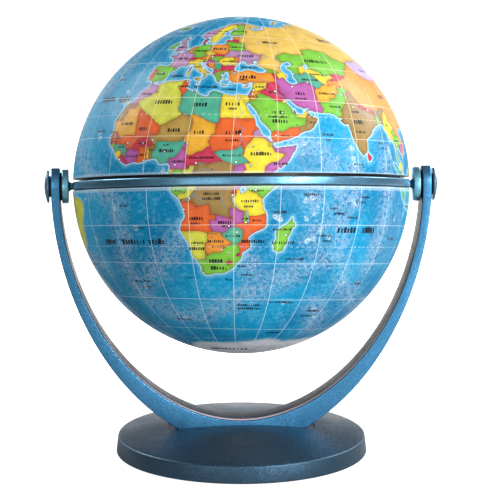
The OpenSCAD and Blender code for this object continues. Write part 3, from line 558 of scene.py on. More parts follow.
BORDERS = """
    -2.2 35.1, -1.7 34.5, -1.7 33, -1.2 32.2, -3 31.6, -3.6 30.9, -5 30.3, -7 29.6, -8.7 28.7, -8.7 27.7
    -13 27.7, -8.7 27.7
    -8.7 27.7, -8.7 26, -12 26, -12 23.5, -13 23, -13.1 21.3, -16.5 21.3, -17 20.9
    -8.7 27.7, -4.8 25, 1.2 21.1, 1.8 20.3, 3.2 19.8, 3.2 19.1, 4.2 19.2, 5.8 19.5, 7.5 20.9, 12 23.5
    -4.8 25, -6.5 25, -5.5 16.3, -5.3 15.5, -9.3 15.6, -10.7 15.4, -12.2 14.8
    -12.2 14.8, -13.8 16.2, -14.8 16.6, -16.5 16
    -12.2 14.8, -11.5 13.5, -11.4 12.4
    -16.7 12.4, -13.7 12.7, -13.7 12.4, -12.3 12.4, -11.4 12.4
    -13.7 12.4, -13.8 11.7, -15 10.9
    -16.8 13.1, -15.3 13.2, -13.8 13.3, -13.8 13.6, -15.4 13.7, -16.8 13.6
    -11.4 12.4, -10.7 11.9, -9.4 12.3, -8.8 11.5, -8.2 10.4, -8 10.2
    -13.3 9.1, -12.5 9.8, -11.2 10, -10.6 9.2, -10.3 8.5, -11.5 6.9
    -10.3 8.5, -9.5 8.3, -9.4 7.5, -8.5 7.6, -8.3 6.4, -7.4 5.8, -7.5 4.3
    -8.5 7.6, -8.2 8.5, -7.9 9.5, -8 10.2, -6.2 10.5, -5.5 10.4, -4.7 9.8, -2.8 9.6
    -2.8 9.6, -2.5 8.2, -3.2 6.8, -3.1 5.1
    -2.8 9.6, -2.8 11, 0 11.1, 0.4 10, 0.6 8.3, 0.6 7, 1.2 6.1
    0 11.1, 0.9 11, 1.3 10, 1.6 9, 1.6 6.2
    0.9 11, 2.4 11.9, 3.6 11.7, 3.8 10.7, 2.7 9, 2.7 6.3
    -5.5 10.4, -5.2 11.8, -4.4 12.5, -4 13.4, -2 14.2, 0.2 15, 1 13.4, 2.1 12.7, 2.4 11.9
    0.2 15, 3.5 15.4, 4.2 16.8, 4.2 19.2
    3.6 11.7, 4.1 13.4, 6.8 13.1, 9 12.8, 12.5 13.1, 13.6 13.7
    14.2 12.5, 13.3 10, 12 7.8, 11 6.6, 9.2 6.4, 8.9 4.5
    13.6 13.7, 13.5 14.4, 15.5 16.9, 15.9 20, 15 23, 14.2 22.6, 12 23.5, 10 24.5, 9.4 26, 9.9 27, 9.5 30.2
    9.5 30.2, 10.3 31.7, 11.5 33.1
    9.5 30.2, 9 32.1, 7.5 33.5, 8.3 35, 8.6 36.9
    25.2 31.6, 24.9 30, 25 22, 31.3 22, 36.9 22
    15 23, 16 23.4, 24 19.5, 24 20, 25 20, 25 22
    24 19.5, 24 15.7, 22.9 15.5, 22.4 13.8, 21.9 12.7, 22.9 11, 21.7 10.6, 20.4 9.1, 18.9 8.9, 17.2 7.6,
        15.5 7.5
    14.2 12.5, 15 12, 15 10.3, 14 10, 15.5 7.5, 14.5 6, 14.7 4.6, 16.2 2.2
    22.9 11, 23.6 8.7, 26.5 9.5, 28 9.4, 31 9.8, 32.4 11, 33.2 12.2, 33.1 10.6, 34.1 9.4
    23.6 8.7, 25.3 7.3, 27.4 5.1
    34.1 9.4, 34.3 10.6, 35 11.8, 36.2 13.2, 36.5 14.3, 37 17, 38.5 18.1
    36.5 14.3, 38 14.7, 40 14.5, 42.3 12.5, 43.1 12.6
    42.3 12.5, 41.8 11.2, 43 11, 43.2 11.5
    43 11, 44 9, 48 8, 45 5, 43 4.7, 41.9 3.9
    41.9 3.9, 39.5 3.5, 38 3.6, 36 4.5, 35.3 5.3, 33 8, 34.1 8.6, 34.1 9.4
    36 4.5, 34 4.2, 35 1.9, 34 0.8, 33.9 0.2
    41.9 3.9, 41 3, 41 -0.9, 41.6 -1.7
    39.2 -4.7, 37.6 -3.5, 37.6 -3, 33.9 -1
    31.7 -1, 30.5 -1, 30.8 -2.4, 30.5 -3.5, 29.5 -4.4
    34 4.2, 32 3.6, 30.9 3.5, 29.7 4.5, 27.4 5.1
    30.9 3.5, 31.3 2.2, 29.9 0.6, 29.6 -1.4, 30.5 -1
    30.8 -2.4, 29 -2.7, 29.1 -3.4
    29.6 -1.4, 29.2 -2.2, 29 -2.7
    30.7 -8.3, 31.5 -9, 33 -9.5, 34 -9.5
    34.7 -11.5, 37 -11.6, 38.5 -11.3, 40.4 -10.5
    33 -9.5, 33.3 -11, 32.8 -13.6, 33.2 -14, 34.5 -14.5, 34.3 -15.7, 35.2 -17.1, 35.8 -16, 35.8 -14.8,
        34.9 -13.5
    33.2 -14, 30.2 -15, 30.4 -15.7, 28.8 -16, 27 -17.9, 25.3 -17.8
    30.7 -8.3, 28.9 -8.5, 28.4 -9.3, 28.6 -11.8, 29.8 -12.2, 29.8 -13.4, 28.4 -12.5, 27 -11.9, 25.3 -11.3,
        24 -10.9
    24 -10.9, 24 -13, 22 -13, 22 -16.2, 23.4 -17.6, 25.3 -17.8
    11.8 -17.3, 13.9 -17.4, 18.4 -17.4, 21 -18, 23.4 -17.6
    25.3 -17.8, 24 -18.3, 21 -18.3, 21 -22, 20 -22, 20 -24.8, 20 -28.4, 17.4 -28.7, 16.5 -28.6
    20 -24.8, 20.8 -26.9, 22.7 -25.6, 25.5 -25.7, 26.9 -23.7, 29.4 -22.2
    25.3 -17.8, 26.2 -19.5, 27.7 -20.8, 29.4 -22.2, 31.3 -22.4, 32.4 -21.3, 33 -19.8, 32.8 -17, 30.4 -15.7
    31.3 -22.4, 32 -24.5, 32 -25.9, 32.1 -26.8, 32.9 -26.9
    32 -25.9, 31.2 -25.9, 30.8 -27, 31.8 -27.3, 32.1 -26.8
    27 -29.7, 28.4 -28.7, 29.4 -29.5, 28.8 -30.2, 27.9 -30.6, 27 -29.7
    12.3 -6.1, 13 -5.9, 16.5 -5.9, 17.5 -8, 20.8 -7, 21.8 -7.3, 22.2 -11, 24 -10.9
    12.2 -5.8, 12.6 -5.1, 13.1 -4.6, 15.3 -4.3, 16.2 -2.2, 17.8 -0.5, 18.1 2.5, 18.6 3.5, 19.5 5.1, 22.5 4.1
    22.5 4.1, 25 5, 27.4 5.1
    12 -5, 13.1 -4.6
    18.6 3.5, 16.5 3.5, 16.2 2.2, 13.3 2.2, 11.3 2.2, 9.8 2.3
    11.3 2.2, 11.3 1, 9.5 1
    13.3 2.2, 14.3 1.3, 14.5 -0.5, 14 -2.3, 12 -2.4, 11.5 -2.8, 11.2 -3.9
    34.3 31.3, 34.9 29.5, 35.5 31.5, 35.6 32.7, 35.7 33.3, 36.5 34.4, 35.9 34.6
    35.2 33.1, 35.7 33.3
    34.9 29.5, 36 29.2, 37.7 30.4, 37 31.5, 39.2 32.1, 38.8 33.4, 35.6 32.7
    38.8 33.4, 41 34.5, 41.3 36.5, 42.4 37.1, 38.5 36.8, 36.7 36.8, 35.8 35.9
    42.4 37.1, 44.8 37.2, 46.2 35.5, 45.6 33.8, 47.8 31.8, 47.7 31, 48.6 30
    39.2 32.1, 42 31.1, 44.7 29.2, 46.5 29.1, 47.4 30.1, 48 30
    46.5 29.1, 47.5 28.5, 48.4 28.6
    44.8 37.2, 44.3 39.4, 43.5 41.1, 41.6 41.5
    39.7 43.5, 44 42.7, 46.5 41.9, 48 42
    43.5 41.1, 45 41.2, 46.5 41.2, 46.5 41.9
    45 41.2, 46.5 38.9
    44.3 39.4, 46.5 38.9, 48 39.6, 48.9 38.4
    42.8 16.4, 44 17.4, 47 17, 49 18.6, 52 19, 53.1 16.7
    52 19, 55 20, 55.2 22.7, 52.6 22.9, 51.5 24.3
    55.2 22.7, 55.8 24.2, 56.4 24.9
    50.8 24.8, 51.5 24.3
    61.7 25.1, 63 27, 61 29.8, 61 31.5, 60.6 34, 61.2 35.6, 59.3 37.5, 57 38.2, 53.9 37
    61.2 35.6, 63 35.5, 64.7 37.1, 66.5 37.4, 67.8 37.2, 70 37.6, 71.5 38, 73 37.3, 74.9 37.3
    61 29.8, 66.3 29.9, 66.5 31.3, 69.3 31.9, 70 33.5, 71.5 34.5, 71.5 36, 74.9 37.3
    68.2 23.7, 71 24.5, 70.2 26.5, 73 29.5, 74.6 31.2, 75.5 32.4, 74 34, 77.8 35.5, 74.9 37.3
    77.8 35.5, 79.5 32.5, 81 30.2, 84 28.8, 88.1 27.9, 91.7 27.8, 94 29, 96.2 29.3, 97.4 28.3
    81 30.2, 80.1 28.8, 84 27.3, 88.1 26.5, 88.1 27.9
    88.1 27.9, 88.9 26.8, 92 26.9, 91.7 27.8
    97.4 28.3, 95.2 26.5, 94 24, 93.3 22.2, 92.5 21
    89 21.8, 88.8 24.2, 88.4 26.3, 89.8 25.3, 92.3 25, 91.3 23.8, 92.5 21
    97.4 28.3, 98.7 27, 97.7 24, 99.5 23, 101.2 21.5, 100.1 20.4, 98 19.5, 98.7 16, 98.3 15, 99.2 12.5,
        98.6 10
    100.1 20.4, 101.2 19.6, 101 17.6, 104 18.2, 105.6 15.3, 105.5 14.4, 102.6 13.6, 102.8 11.8
    101.2 21.5, 102.2 22.4, 104.5 20.4, 105.5 18.5, 107.5 16, 107.5 14.7, 107.5 12.4, 105.9 11, 104.5 10.4
    105.5 14.4, 107.5 14.7
    102.2 22.4, 105.3 23.3, 108 21.5
    102 6.3, 100 6.4
    87.8 49.2, 91 45.2, 96 42.7, 105 41.6, 111.9 43.7, 116 46.5, 119.8 46.8, 116.5 49.8
    87.8 49.2, 92 50.8, 98 50.6, 98.2 52, 102 51.3, 108 49.5, 113 49.6, 116.5 49.8
    116.5 49.8, 120 53, 125.5 53, 127.5 49.8, 131 47.8, 135 48.4, 133 45, 131 43.5, 130.6 42.3, 128 42,
        124.3 40
    126.2 37.8, 128.5 38.5
    87.8 49.2, 85.5 47, 82.5 45.3, 80.2 42.2, 76 40.4, 73.7 39.5, 74.9 37.3
    87.8 49.2, 80 51, 76.5 54.2, 71 54.2, 68 55, 61 53.8, 61.5 51.5, 55 51, 51 51.6, 47 50, 46.5 48.5,
        49 46.3
    52.5 41.7, 56 41.3, 56 45, 58.5 45.5
    61 44.4, 66 42.9, 66.5 41.5, 69 41.5, 71 42.3, 75 43, 80.2 42.2
    71 42.3, 73 40.8, 69.5 40, 70.5 39.5, 73.7 39.5
    69.5 40, 68 39, 67.8 37.2
    56 41.3, 58.5 42.6, 62 41, 64 38.9, 66.5 37.4
    -7.4 37.2, -7 38.2, -7 40, -6.5 41.6, -8.2 42, -8.8 41.9
    -1.8 43.4, 0.7 42.8, 3.1 42.4
    7.5 43.8, 7 45.2, 6.9 46, 6.2 46.3, 7.5 47.6, 8.1 49, 6.4 49.5, 4.8 50, 2.6 51.1
    3.5 51.4, 5.9 51, 6.4 49.5
    5.9 51, 6.8 52.2, 7 53.4
    6.9 46, 9 46, 10.4 46.8, 9.6 47.5, 7.5 47.6
    9.6 47.5, 13 47.6, 13.8 48.7, 12.2 50.3, 14.8 50.9, 14.6 52.5, 14.2 53.9
    8.6 54.9, 9.9 54.8
    10.4 46.8, 13.7 46.5, 13.8 45.7
    13.7 46.5, 16.1 46.8, 17.1 48, 16.9 48.7, 13.8 48.7
    16.9 48.7, 18.8 49.5, 16.8 50.2, 14.8 50.9
    18.8 49.5, 22.6 49.1, 22.2 48.4, 20 48.2, 17.1 48
    22.2 48.4, 22.9 48, 20.3 46.1, 18.8 45.9, 16.1 46.8, 15.3 45.6, 13.6 45.3
    18.8 45.9, 19.1 44.9, 16 45.2, 15.8 44.2, 18.4 42.5, 19.3 43.5, 19.1 44.9
    20.3 46.1, 21.5 44.8, 22.6 44.4, 23 43.8, 27 44.1, 28.6 43.7
    22.6 44.4, 22.4 42.3, 23 41.3, 21 40.8, 20 39.6
    19.3 43.5, 20 42.6, 19.2 42
    20 42.6, 20.6 41.9, 21 40.8
    20.6 41.9, 22.4 42.3
    23 41.3, 26.3 41.7, 26.1 40.7
    26.3 41.7, 28 42
    22.6 49.1, 24 50.5, 23.6 51.5, 23.5 54, 22.8 54.4, 19.8 54.4
    23.6 51.5, 30.5 51.4, 31.8 52.1, 34 51.5, 35.5 50.4, 40 49.6, 38.3 47.1
    22.9 48, 25 47.8, 26.6 48.3, 28.5 48.1, 30 46.5, 28.2 45.5, 29.7 45.2
    26.6 48.3, 27.3 47, 28.2 45.5
    31.8 52.1, 31.5 53.3, 30.8 55.6, 28.2 56.1, 26.6 55.7, 25.7 54.3, 23.5 54
    21 56.1, 24 56.3, 26.6 55.7
    22.8 54.4, 21.2 55.3
    24.4 57.8, 27.4 57.5, 28.2 56.1
    27.4 57.5, 28 59.5
    28 60.6, 31.5 62.9, 29.5 65, 30 67.7, 28.5 68.2, 28.8 69.2, 31 70.2
    28.8 69.2, 27.9 70.1, 25.7 69, 20.6 69.1, 23.7 67.5, 24.1 65.8
    20.6 69.1, 18 68.4, 14.5 66, 12.2 63, 12.7 61, 11.8 59.8, 11.2 59
    -51.5 4.2, -54.5 2.3, -56.5 2, -59.8 1.8, -60 5, -64 4, -66.8 1.2, -69.8 1, -69.9 -4.2, -73 -7.4
    -73 -7.4, -70.5 -9.5, -69.5 -11, -65.3 -10, -65 -12, -60.5 -13.7, -60 -16.2, -58.2 -17.2, -57.9 -20
    -57.9 -20, -57.9 -22.1, -55.6 -22.6, -54.3 -24, -54.6 -25.6, -53.7 -27.1, -57.6 -30.2, -55.8 -31,
        -53.5 -33.7
    -54 5.8, -54.5 2.3
    -57 6, -57.5 3, -56.5 2
    -60 8.5, -61.3 6, -60 5
    -71.5 11, -72.5 8, -67.5 6, -66.8 1.2
    -79 1.5, -76 0.3, -75.3 -0.2, -73 -2.4, -69.9 -4.2
    -75.3 -0.2, -78 -4, -80.3 -3.4
    -69.5 -11, -69 -16, -69.5 -17.5, -70.3 -18.4
    -69.5 -17.5, -68 -22.8, -66 -21.9, -62.7 -22.2, -59 -19.3, -57.9 -20
    -62.7 -22.2, -57.7 -25.3, -58.6 -27.3, -54.6 -25.6
    -68 -22.8, -69 -28, -70 -33, -71.5 -40, -72 -45, -73 -50, -72 -52, -68.5 -52.5
    -57.6 -30.2, -58.4 -34
    -117.1 32.5, -111 31.3, -106.5 31.7, -103 29, -101 29.7, -97.2 25.9
    -123 49, -108 49.3, -95 49, -89 48, -83 46, -82.5 42, -79 43, -75 45, -71 45.3, -69 47.3, -67 45
    -141 60, -141 69.7
    -92 14.5, -90.5 17.8, -88.3 17
    -87.5 13, -88.5 14.5, -88.3 15.8
    -87.5 13, -83.3 15
    -85.7 10, -83.7 11
    129 -14.9, 129 -26, 129 -31.7
    138 -16.7, 138 -26, 129 -26
    138 -26, 141 -26, 141 -29, 141 -34, 141 -38
    141 -29, 149 -29, 153.5 -28.2
    141 -34, 144 -36, 147 -36, 149.9 -37.5
    141 -2.6, 141 -9
    109.6 1.9, 112 1.2, 115 1.5, 115 4.2, 117.6 4.2"""

INKS = {
    "lime": "#c6c84a", "teal": "#4fa58a", "yellow": "#dccb3c", "amber": "#d8a136", "vermilion": "#d2602e",
    "brown": "#927744", "olive": "#a98a45", "crimson": "#c03a56", "magenta": "#a13c78", "purple": "#a85c9c",
    "mauve": "#b188b0", "green": "#74b63f", "orange": "#dc8d38", "tan": "#d6b25a", "lilac": "#b7a6cd",
    "ice": "#cfd2d8", "sea": "#3f9cc9",
}

# each country's ink, and a point inside each of its pieces
COUNTRIES = """
    lime 3 28 algeria; teal 17 27 libya; yellow 29 27 egypt; mauve -6 32 morocco;
    vermilion 9.3 34 tunisia; brown -13.5 24.8 sahara_coast; amber -10 20 mauritania;
    vermilion -3 18 mali; olive 9 17 niger; amber 18 16 chad; vermilion 30 15 sudan;
    teal 30 7.5 south_sudan; yellow 39 8.5 ethiopia; purple 46 4 somalia; green 38 0.5 kenya;
    green 38 -2 kenya_south; purple 32.5 1.8 uganda; purple 31 -0.6 uganda_south; yellow 35 -6 tanzania;
    brown 23 -3 congo_east; brown 23 1.5 congo_east_north; lime 15.3 -1 congo_west;
    lime 16.3 1 congo_west_north; green 11.5 -1 gabon; green 12 1 gabon_north; purple 12 5 cameroon;
    crimson 20 6.5 central_africa; teal 8 9 nigeria; vermilion -14.5 14.8 senegal; teal -11 11 guinea;
    yellow -11.8 8.6 sierra_leone; crimson -9.5 6.6 liberia; purple -5.5 7.5 ivory_coast;
    crimson -1.5 12.3 burkina; vermilion -1 7.5 ghana; yellow 1 8 togo; brown 2.3 9.5 benin;
    green -15 12 guinea_bissau; magenta -15.5 13.4 gambia; vermilion 17.5 -12 angola;
    vermilion 12.3 -5.3 cabinda; purple 26 -14.5 zambia; teal 29.5 -19 zimbabwe;
    vermilion 37 -14 mozambique; green 33.6 -12.5 malawi; lime 17 -21 namibia; orange 24 -22 botswana;
    green 24 -30 south_africa; green 46.5 -20 madagascar; crimson 28.3 -29.5 lesotho;
    crimson 30 -1.9 rwanda; green 30 -3.2 burundi; magenta 31.5 -26.6 eswatini; mauve 38.5 16 eritrea;
    lime 42.6 11.8 djibouti; yellow 10.5 1.6 guinea_gulf; yellow 33.5 30.3 sinai;
    green 45 24 saudi_arabia; vermilion 47 15.5 yemen; brown 57 21 oman; yellow 54 23.5 emirates;
    crimson 51.2 25.4 qatar; yellow 47.7 29.3 kuwait; crimson 43.5 33 iraq; purple 54 32 iran;
    yellow 38.5 35 syria; amber 36.7 31 jordan; purple 34.9 31 israel; green 35.9 33.9 lebanon;
    orange 33 39 turkey; green 43.5 42 georgia; crimson 44.9 40.3 armenia; yellow 47.5 40.3 azerbaijan;
    amber 66 34 afghanistan; green 68 28 pakistan; brown 78 22 india; crimson 80.7 7.5 sri_lanka;
    crimson 84 28 nepal; green 90.4 27.4 bhutan; green 90 24 bangladesh; orange 103 33 china;
    yellow 96 21 burma; green 101 15.5 thailand; orange 103.5 19.3 laos; purple 104.8 12.8 cambodia;
    orange 105.5 21.5 vietnam; yellow 102 4 malaya; lilac 103 47 mongolia; green 67 48 kazakhstan;
    yellow 64 42 uzbekistan; teal 60 39 turkmenistan; crimson 75 41.5 kyrgyzstan;
    orange 71 38.7 tajikistan; tan 90 62 russia; tan 21.5 54.8 russia_baltic; mauve 32 49 ukraine;
    green 28 53.5 belarus; orange 19 52 poland; green 10 51 germany; mauve 2.5 47 france;
    green -4 40 spain; vermilion -8 39.5 portugal; yellow 12.3 43 italy; crimson 8.2 46.8 switzerland;
    orange 14.5 47.4 austria; yellow 15.3 49.8 czechia; crimson 19.5 48.7 slovakia;
    green 19.5 47.2 hungary; yellow 25 46 romania; crimson 25 42.7 bulgaria; teal 21 43.8 serbia;
    purple 16.5 45.6 croatia; green 14.8 46.1 slovenia; orange 17.7 44.2 bosnia;
    yellow 19.2 42.6 montenegro; purple 20 41 albania; orange 21.7 41.6 macedonia; green 22 39.5 greece;
    yellow 4.6 50.6 belgium; orange 5.6 52.2 netherlands; crimson 9.2 56 denmark; mauve 9.5 61.5 norway;
    yellow 16 63 sweden; green 26.5 63.5 finland; orange 25.8 58.7 estonia; crimson 25 57 latvia;
    green 24 55.3 lithuania; orange 28.4 47.1 moldova; mauve -1.5 52.8 britain; green -8 53.2 ireland;
    green -18.5 65 iceland; yellow 14 37.5 sicily; yellow 9 40 sardinia; mauve 9.2 42.2 corsica;
    green 25 35.2 crete; orange 33.2 35 cyprus; tan 58 74 novaya_zemlya; ice 19 79 svalbard;
    ice -42 72 greenland; ice 0 -85 antarctica; crimson 138 36 japan; crimson 131 32.5 kyushu;
    crimson 143 43.3 hokkaido; tan 142.5 52 sakhalin; yellow 121 23.8 taiwan; orange 121 16.8 luzon;
    orange 125 7.6 mindanao; purple 127 40.5 korea_north; yellow 127.8 36.5 korea_south;
    yellow 116.5 5.3 borneo_north; teal 112 -0.8 borneo; teal 102 -1.5 sumatra;
    teal 112 1.2 borneo_middle; teal 99.5 1.5 sumatra_north; teal 110 -7.3 java; teal 120.3 -2.5 sulawesi;
    teal 137 -4.5 new_guinea_west; purple 145 -6.2 new_guinea_east; green 146.5 -42 tasmania;
    orange 175.8 -38.5 new_zealand_north; orange 171 -43.5 new_zealand_south;
    orange 122 -25 australia_west; yellow 133.5 -20 australia_north; mauve 134 -29 australia_south;
    green 145 -23 australia_east; crimson 146 -32 australia_middle; purple 145 -37.3 australia_corner;
    green -105 58 canada; yellow -100 40 united_states; yellow -153 65 alaska; orange -103 23 mexico;
    teal -90.3 15.5 guatemala; crimson -86.8 14.5 honduras; yellow -85 12.7 nicaragua;
    purple -81 8.3 panama; green -73 67 baffin; green -111 71 victoria_island; green -80 80 ellesmere;
    green -121.5 73 banks; green -56 48.6 newfoundland; crimson -79 22 cuba; orange -71 18.8 hispaniola;
    lime -52 -10 brazil; lime -58 0.8 brazil_north; mauve -66 -36 argentina; crimson -70 -31.5 chile;
    orange -64 -17 bolivia; purple -75 -10 peru; yellow -78.7 -1.5 ecuador;
    yellow -78.5 0.7 ecuador_north; green -73 4 colombia; green -70.5 -1.5 colombia_south;
    orange -65 7.5 venezuela; crimson -58.8 4.5 guyana; teal -55.7 4 surinam; mauve -53 3.8 guiana;
    green -59.5 -22 paraguay; yellow -56 -33 uruguay"""

# mid-ocean ridges, printed as pale relief
RIDGES = """
    -18 70, -25 62, -30 57, -28 50, -30 43, -40 33, -46 25, -45 14, -35 6, -24 0, -13 -6, -13 -20,
        -15 -32, -14 -44, -5 -52, 12 -53
    11 -19, 6 -27, -3 -34, -10 -38
    12 -53, 28 -47, 42 -40, 56 -32, 69 -26
    69 -26, 68 -15, 67 -5, 64 6, 57 13, 49 13
    69 -26, 78 -38, 95 -46, 120 -50, 150 -60
    90 9, 89 -10, 88 -31
    73 12, 72 -6
    56 -5, 61 -11, 58 -20
    35 -27, 36 -34
    69 -47, 77 -55, 83 -60
    -40 -29, -31 -32
    -106 18, -103 3, -108 -12, -112 -30, -115 -42, -135 -56
    -170 45, -172 30, -178 22
    -163 24, -155 19"""

CAPITALS = """
    31.2 30, 32.5 15.6, 38.7 9, 36.8 -1.3, 17 -22.6, 18.5 -33.8, 28.2 -25.7, 13.4 -8.9, 15.4 -4.5, 7.4 9,
    3.1 36.6, 13.2 32.7, 10 36.6, -6.7 33.9, -17.1 14.6, 15.1 12, 18.6 4.5, 28.3 -15.4, 31 -17.8,
    47.5 -18.9, 46.7 24.7, 44.2 15.4, 44.4 33.3, 51.4 35.7, 32.9 39.9, 77.2 28.6, 37.6 55.8, 30.5 50.4,
    13.4 52.5, 2.3 48.9, -3.7 40.4, 12.6 42, 21 52.2, 26.1 44.4, 24 38.1, 23.7 61.4, 18 59.4, 10.8 60,
    69.2 34.5, 73 33.6, 71.4 51.1, 69.2 41.3, 58.4 38, 116.4 39.9, 139.6 35.8, 100.6 13.9, 106 21,
    85.3 27.7, 35.8 -6.2, 33.8 -14, 2.2 13.5, -8 12.6, -1.5 12.4, -0.3 5.8, -10.7 6.5, 9.6 0.4, 11.5 3.9,
    32.6 0.5, 31.6 4.8, 45.3 2.3, 48 29.3, 58.4 23.5, 36 31.9, 36.3 33.5, 105 48, 96.1 17, 149.1 -35.3,
    -77 38.9, -99.1 19.4, -47.9 -15.8, -58.5 -34.7, -70.7 -33.4, -77 -12, -74.1 4.6, -66.9 10.4,
    -75.7 45.4, 174.8 -41.2, 25.9 -24.6, 29.4 -3.3, 17 48.1"""

RIVERS = """
    32.5 0.4, 31.5 2.3, 31.6 4.8, 31 7, 31.6 9.5, 32.5 12.5, 32.5 15.6, 33.9 18, 31 19, 30.5 21.5,
        32.9 24, 31.2 27.5, 31.2 30, 30.4 31.3
    37.3 11.8, 35.5 10.3, 34.2 12, 32.5 15.6
    12.4 -6, 15.3 -4.3, 17.5 -1.5, 20 1.8, 23.5 2, 25.2 0.5, 25.9 -4, 27 -8.5
    17.5 -0.8, 18.6 4.3, 22 4.5
    16.2 -3, 19 -5, 20.8 -7.3
    -10 10, -6 13.2, -3 16.4, 0 16.5, 3.5 12.5, 5.5 9, 6.7 6, 6.2 4.6
    6.7 7.8, 10 8.2, 13 9.2
    -16 16, -13 15.5, -10.8 13.5
    36 -18.7, 33.5 -16.5, 30.5 -15.7, 27.5 -17, 25.5 -17.9, 23 -16, 23.2 -13.5
    16.6 -28.6, 20 -28.6, 24 -29, 27 -30.3
    35.2 -24.8, 31.5 -22.4, 28 -23
    48 30.5, 45.5 32.5, 43.5 35.5, 42 37.3, 40 38.2
    47.4 31, 44 32.4, 41 34.4, 38.3 36, 38.8 39
    67.5 24, 68.5 27.8, 71 31, 72.5 34.5, 77 34.5
    88.5 22.5, 85 25.5, 81 26, 78.3 29.5
    91 23, 90 26, 95 27.8, 92 29.3, 85 29.5
    47.8 45.8, 46 49, 48.5 51.5, 49 54.5, 44 56.2, 38 58
    39.5 47.2, 42.5 48.5, 39.5 51.5
    32.5 46.6, 34.5 48.3, 30.8 50.5, 31 54
    29.5 45.2, 27 44, 22 44.5, 19 46, 17 48, 12 48.8
    4.2 51.9, 7 50.8, 8.2 49, 7.7 47.8
    71 67, 66 64, 69 60, 75 57, 81 53.5
    83 71, 87 66, 91 60, 92.5 53
    127 72.5, 125 66, 129 62, 121 60, 108 55
    121.5 31.5, 114 30, 106 29.5, 100 26, 97 32
    118.5 37.8, 110.5 35, 110 40.5, 104 37
    106.5 10.2, 105.8 14.8, 102 18, 99 24
    61 46, 65 44.3, 69 41.2
    60 43.6, 63 39.6, 67.5 37.3
    -50.5 0.3, -55 -2.3, -60 -3.3, -66 -2.8, -72 -3.8
    -89.5 29.3, -91.5 33, -89.3 37, -91 41, -94 45
    -58.5 -33.8, -59.5 -28, -57.7 -23"""

# rows of plain upright strokes where a printed map has its names: longitude, latitude, strokes, height in mm
LABELS = """
    3 28.3 7 1.3, 17.3 27.3 5 1.3, 29 27.8 5 1.3, 29 25.8 5 0.8, -6 31.6 7 0.8, 9.2 34.6 7 0.8,
    -10.5 20 10 0.8, -2.5 18 4 1.2, 9.5 17.3 5 1.2, 18.5 16.5 4 1.2, 30 16.5 5 1.4, 30 13.4 8 0.8,
    30 7.5 10 0.8, 39.5 8.2 8 1.2, 46 4.2 7 0.9, 38 1 5 0.9, 37.5 -1.4 7 0.8, 32.6 2 6 0.8, 35 -5.6 8 1.0,
    34.6 -7.8 6 0.7, 22.5 -2.6 8 0.9, 22.5 -4.6 9 0.9, 15.4 -1 5 0.7, 11.7 -1.2 5 0.7, 12.2 5.2 8 0.8,
    20.3 6.6 14 0.8, 8 9.4 7 1.0, 7.6 11.6 5 0.7, -14.6 14.9 7 0.8, -11 11.2 6 0.7, -5.5 7.6 10 0.7,
    -1.5 12.4 8 0.7, -1.1 8 5 0.7, 2.3 9.8 5 0.6, 17.4 -12.4 6 1.1, 17.2 -14.4 6 0.7, 27 -14 6 1.0,
    27.6 -15.4 6 0.7, 29.6 -19.2 8 0.8, 37.6 -13.2 6 0.7, 36.5 -21.3 10 1.0, 33.8 -12.6 6 0.6,
    17.3 -22 8 0.7, 17 -24.2 7 1.0, 23.8 -21.3 8 0.9, 24.6 -23.3 8 0.7, 23.5 -29 5 1.2, 24.5 -31.8 6 1.2,
    46.8 -21.7 10 1.0, 46 -16.7 12 0.7, 45 24.9 5 1.2, 45.8 21.3 6 1.2, 45 23 12 0.7, 47.4 15.4 5 0.8,
    57.5 21.2 4 0.8, 43.6 33 4 0.9, 54.2 33 4 1.2, 54 30.8 8 0.7, 38.5 35 5 0.7, 36.6 30.8 6 0.6,
    33.8 39.2 6 1.2, 32 37.9 6 0.7, 66 33.6 11 0.8, 68.3 28.2 8 0.8, 78 22.4 5 1.4, 78 18.2 8 0.8,
    77.5 26.6 6 0.8, 84 28.4 5 0.7, 103 35 5 1.6, 96.2 22 5 0.8, 101 15.6 8 0.8, 103.5 46.8 8 1.1,
    67 48.4 10 1.2, 64 42 10 0.7, 60 39.3 12 0.7, 92 62 6 1.8, 45 57 7 0.9, 32 49 7 1.0, 28 53.4 7 0.8,
    19 52.2 6 0.9, 10 51 7 0.8, 2.5 47 6 0.9, -4 40 5 0.9, 12.3 43.2 5 0.7, 25 46 7 0.7, 9.5 61.5 6 0.8,
    16 63 6 0.8, 26.5 63.5 7 0.8, -2 52.8 7 0.7, -18.5 65 7 0.7, -52 -10 6 1.6, -66 -36 9 1.2,
    133 -23 9 1.6, -100 40 12 1.5, -105 58 6 1.6, -20 -21.5 5 1.5, -8 -21.5 8 1.7, 2 -21.5 5 1.7,
    70.5 -16.8 6 1.8, 81 -16.8 5 1.8, -28 30 8 1.5, -17 30 5 1.5, 63 16.5 7 0.9, 63 14.2 3 0.9,
    88.5 14 6 0.9, 88.5 11.8 6 0.9, 56 -3 10 0.9, 45 -10 7 0.8, 62 -19 9 0.8, 63 -21 7 0.7,
    66 -10.5 8 0.7, 64 -8.5 6 0.7, 72 -12 9 0.7, 77 -4 8 0.7, 76 -6 6 0.7, 75 4.5 7 0.8, 51 -46 13 0.8,
    37 -47.5 13 0.8, 37 -49 12 0.8, 70 -50 9 0.8, 68 -52.5 8 0.8, -10 -7 7 0.7, -4 -16 8 0.7,
    -10 -37.5 12 0.8, -9 -40 7 0.8, -16 17 8 0.7, -24 17.5 9 0.7, -17 28.7 8 0.7, -26 38 7 0.8,
    6 -0.9 8 0.7, 13 -35.8 8 0.7, 35 -34.5 8 0.7, 33 -31 6 0.7, 28 -36.5 4 0.7, 52 -28 12 0.7,
    18 34.5 13 0.8, 27 33.6 9 0.7, 5 39 8 0.7, 34.3 43.4 9 0.7, 88 -38 8 0.8, 98 -20 8 0.8, 2 -55 9 0.8,
    55 -62 8 0.8, 20 -76 10 1.6, -150 30 7 1.8, -150 -30 7 1.8"""

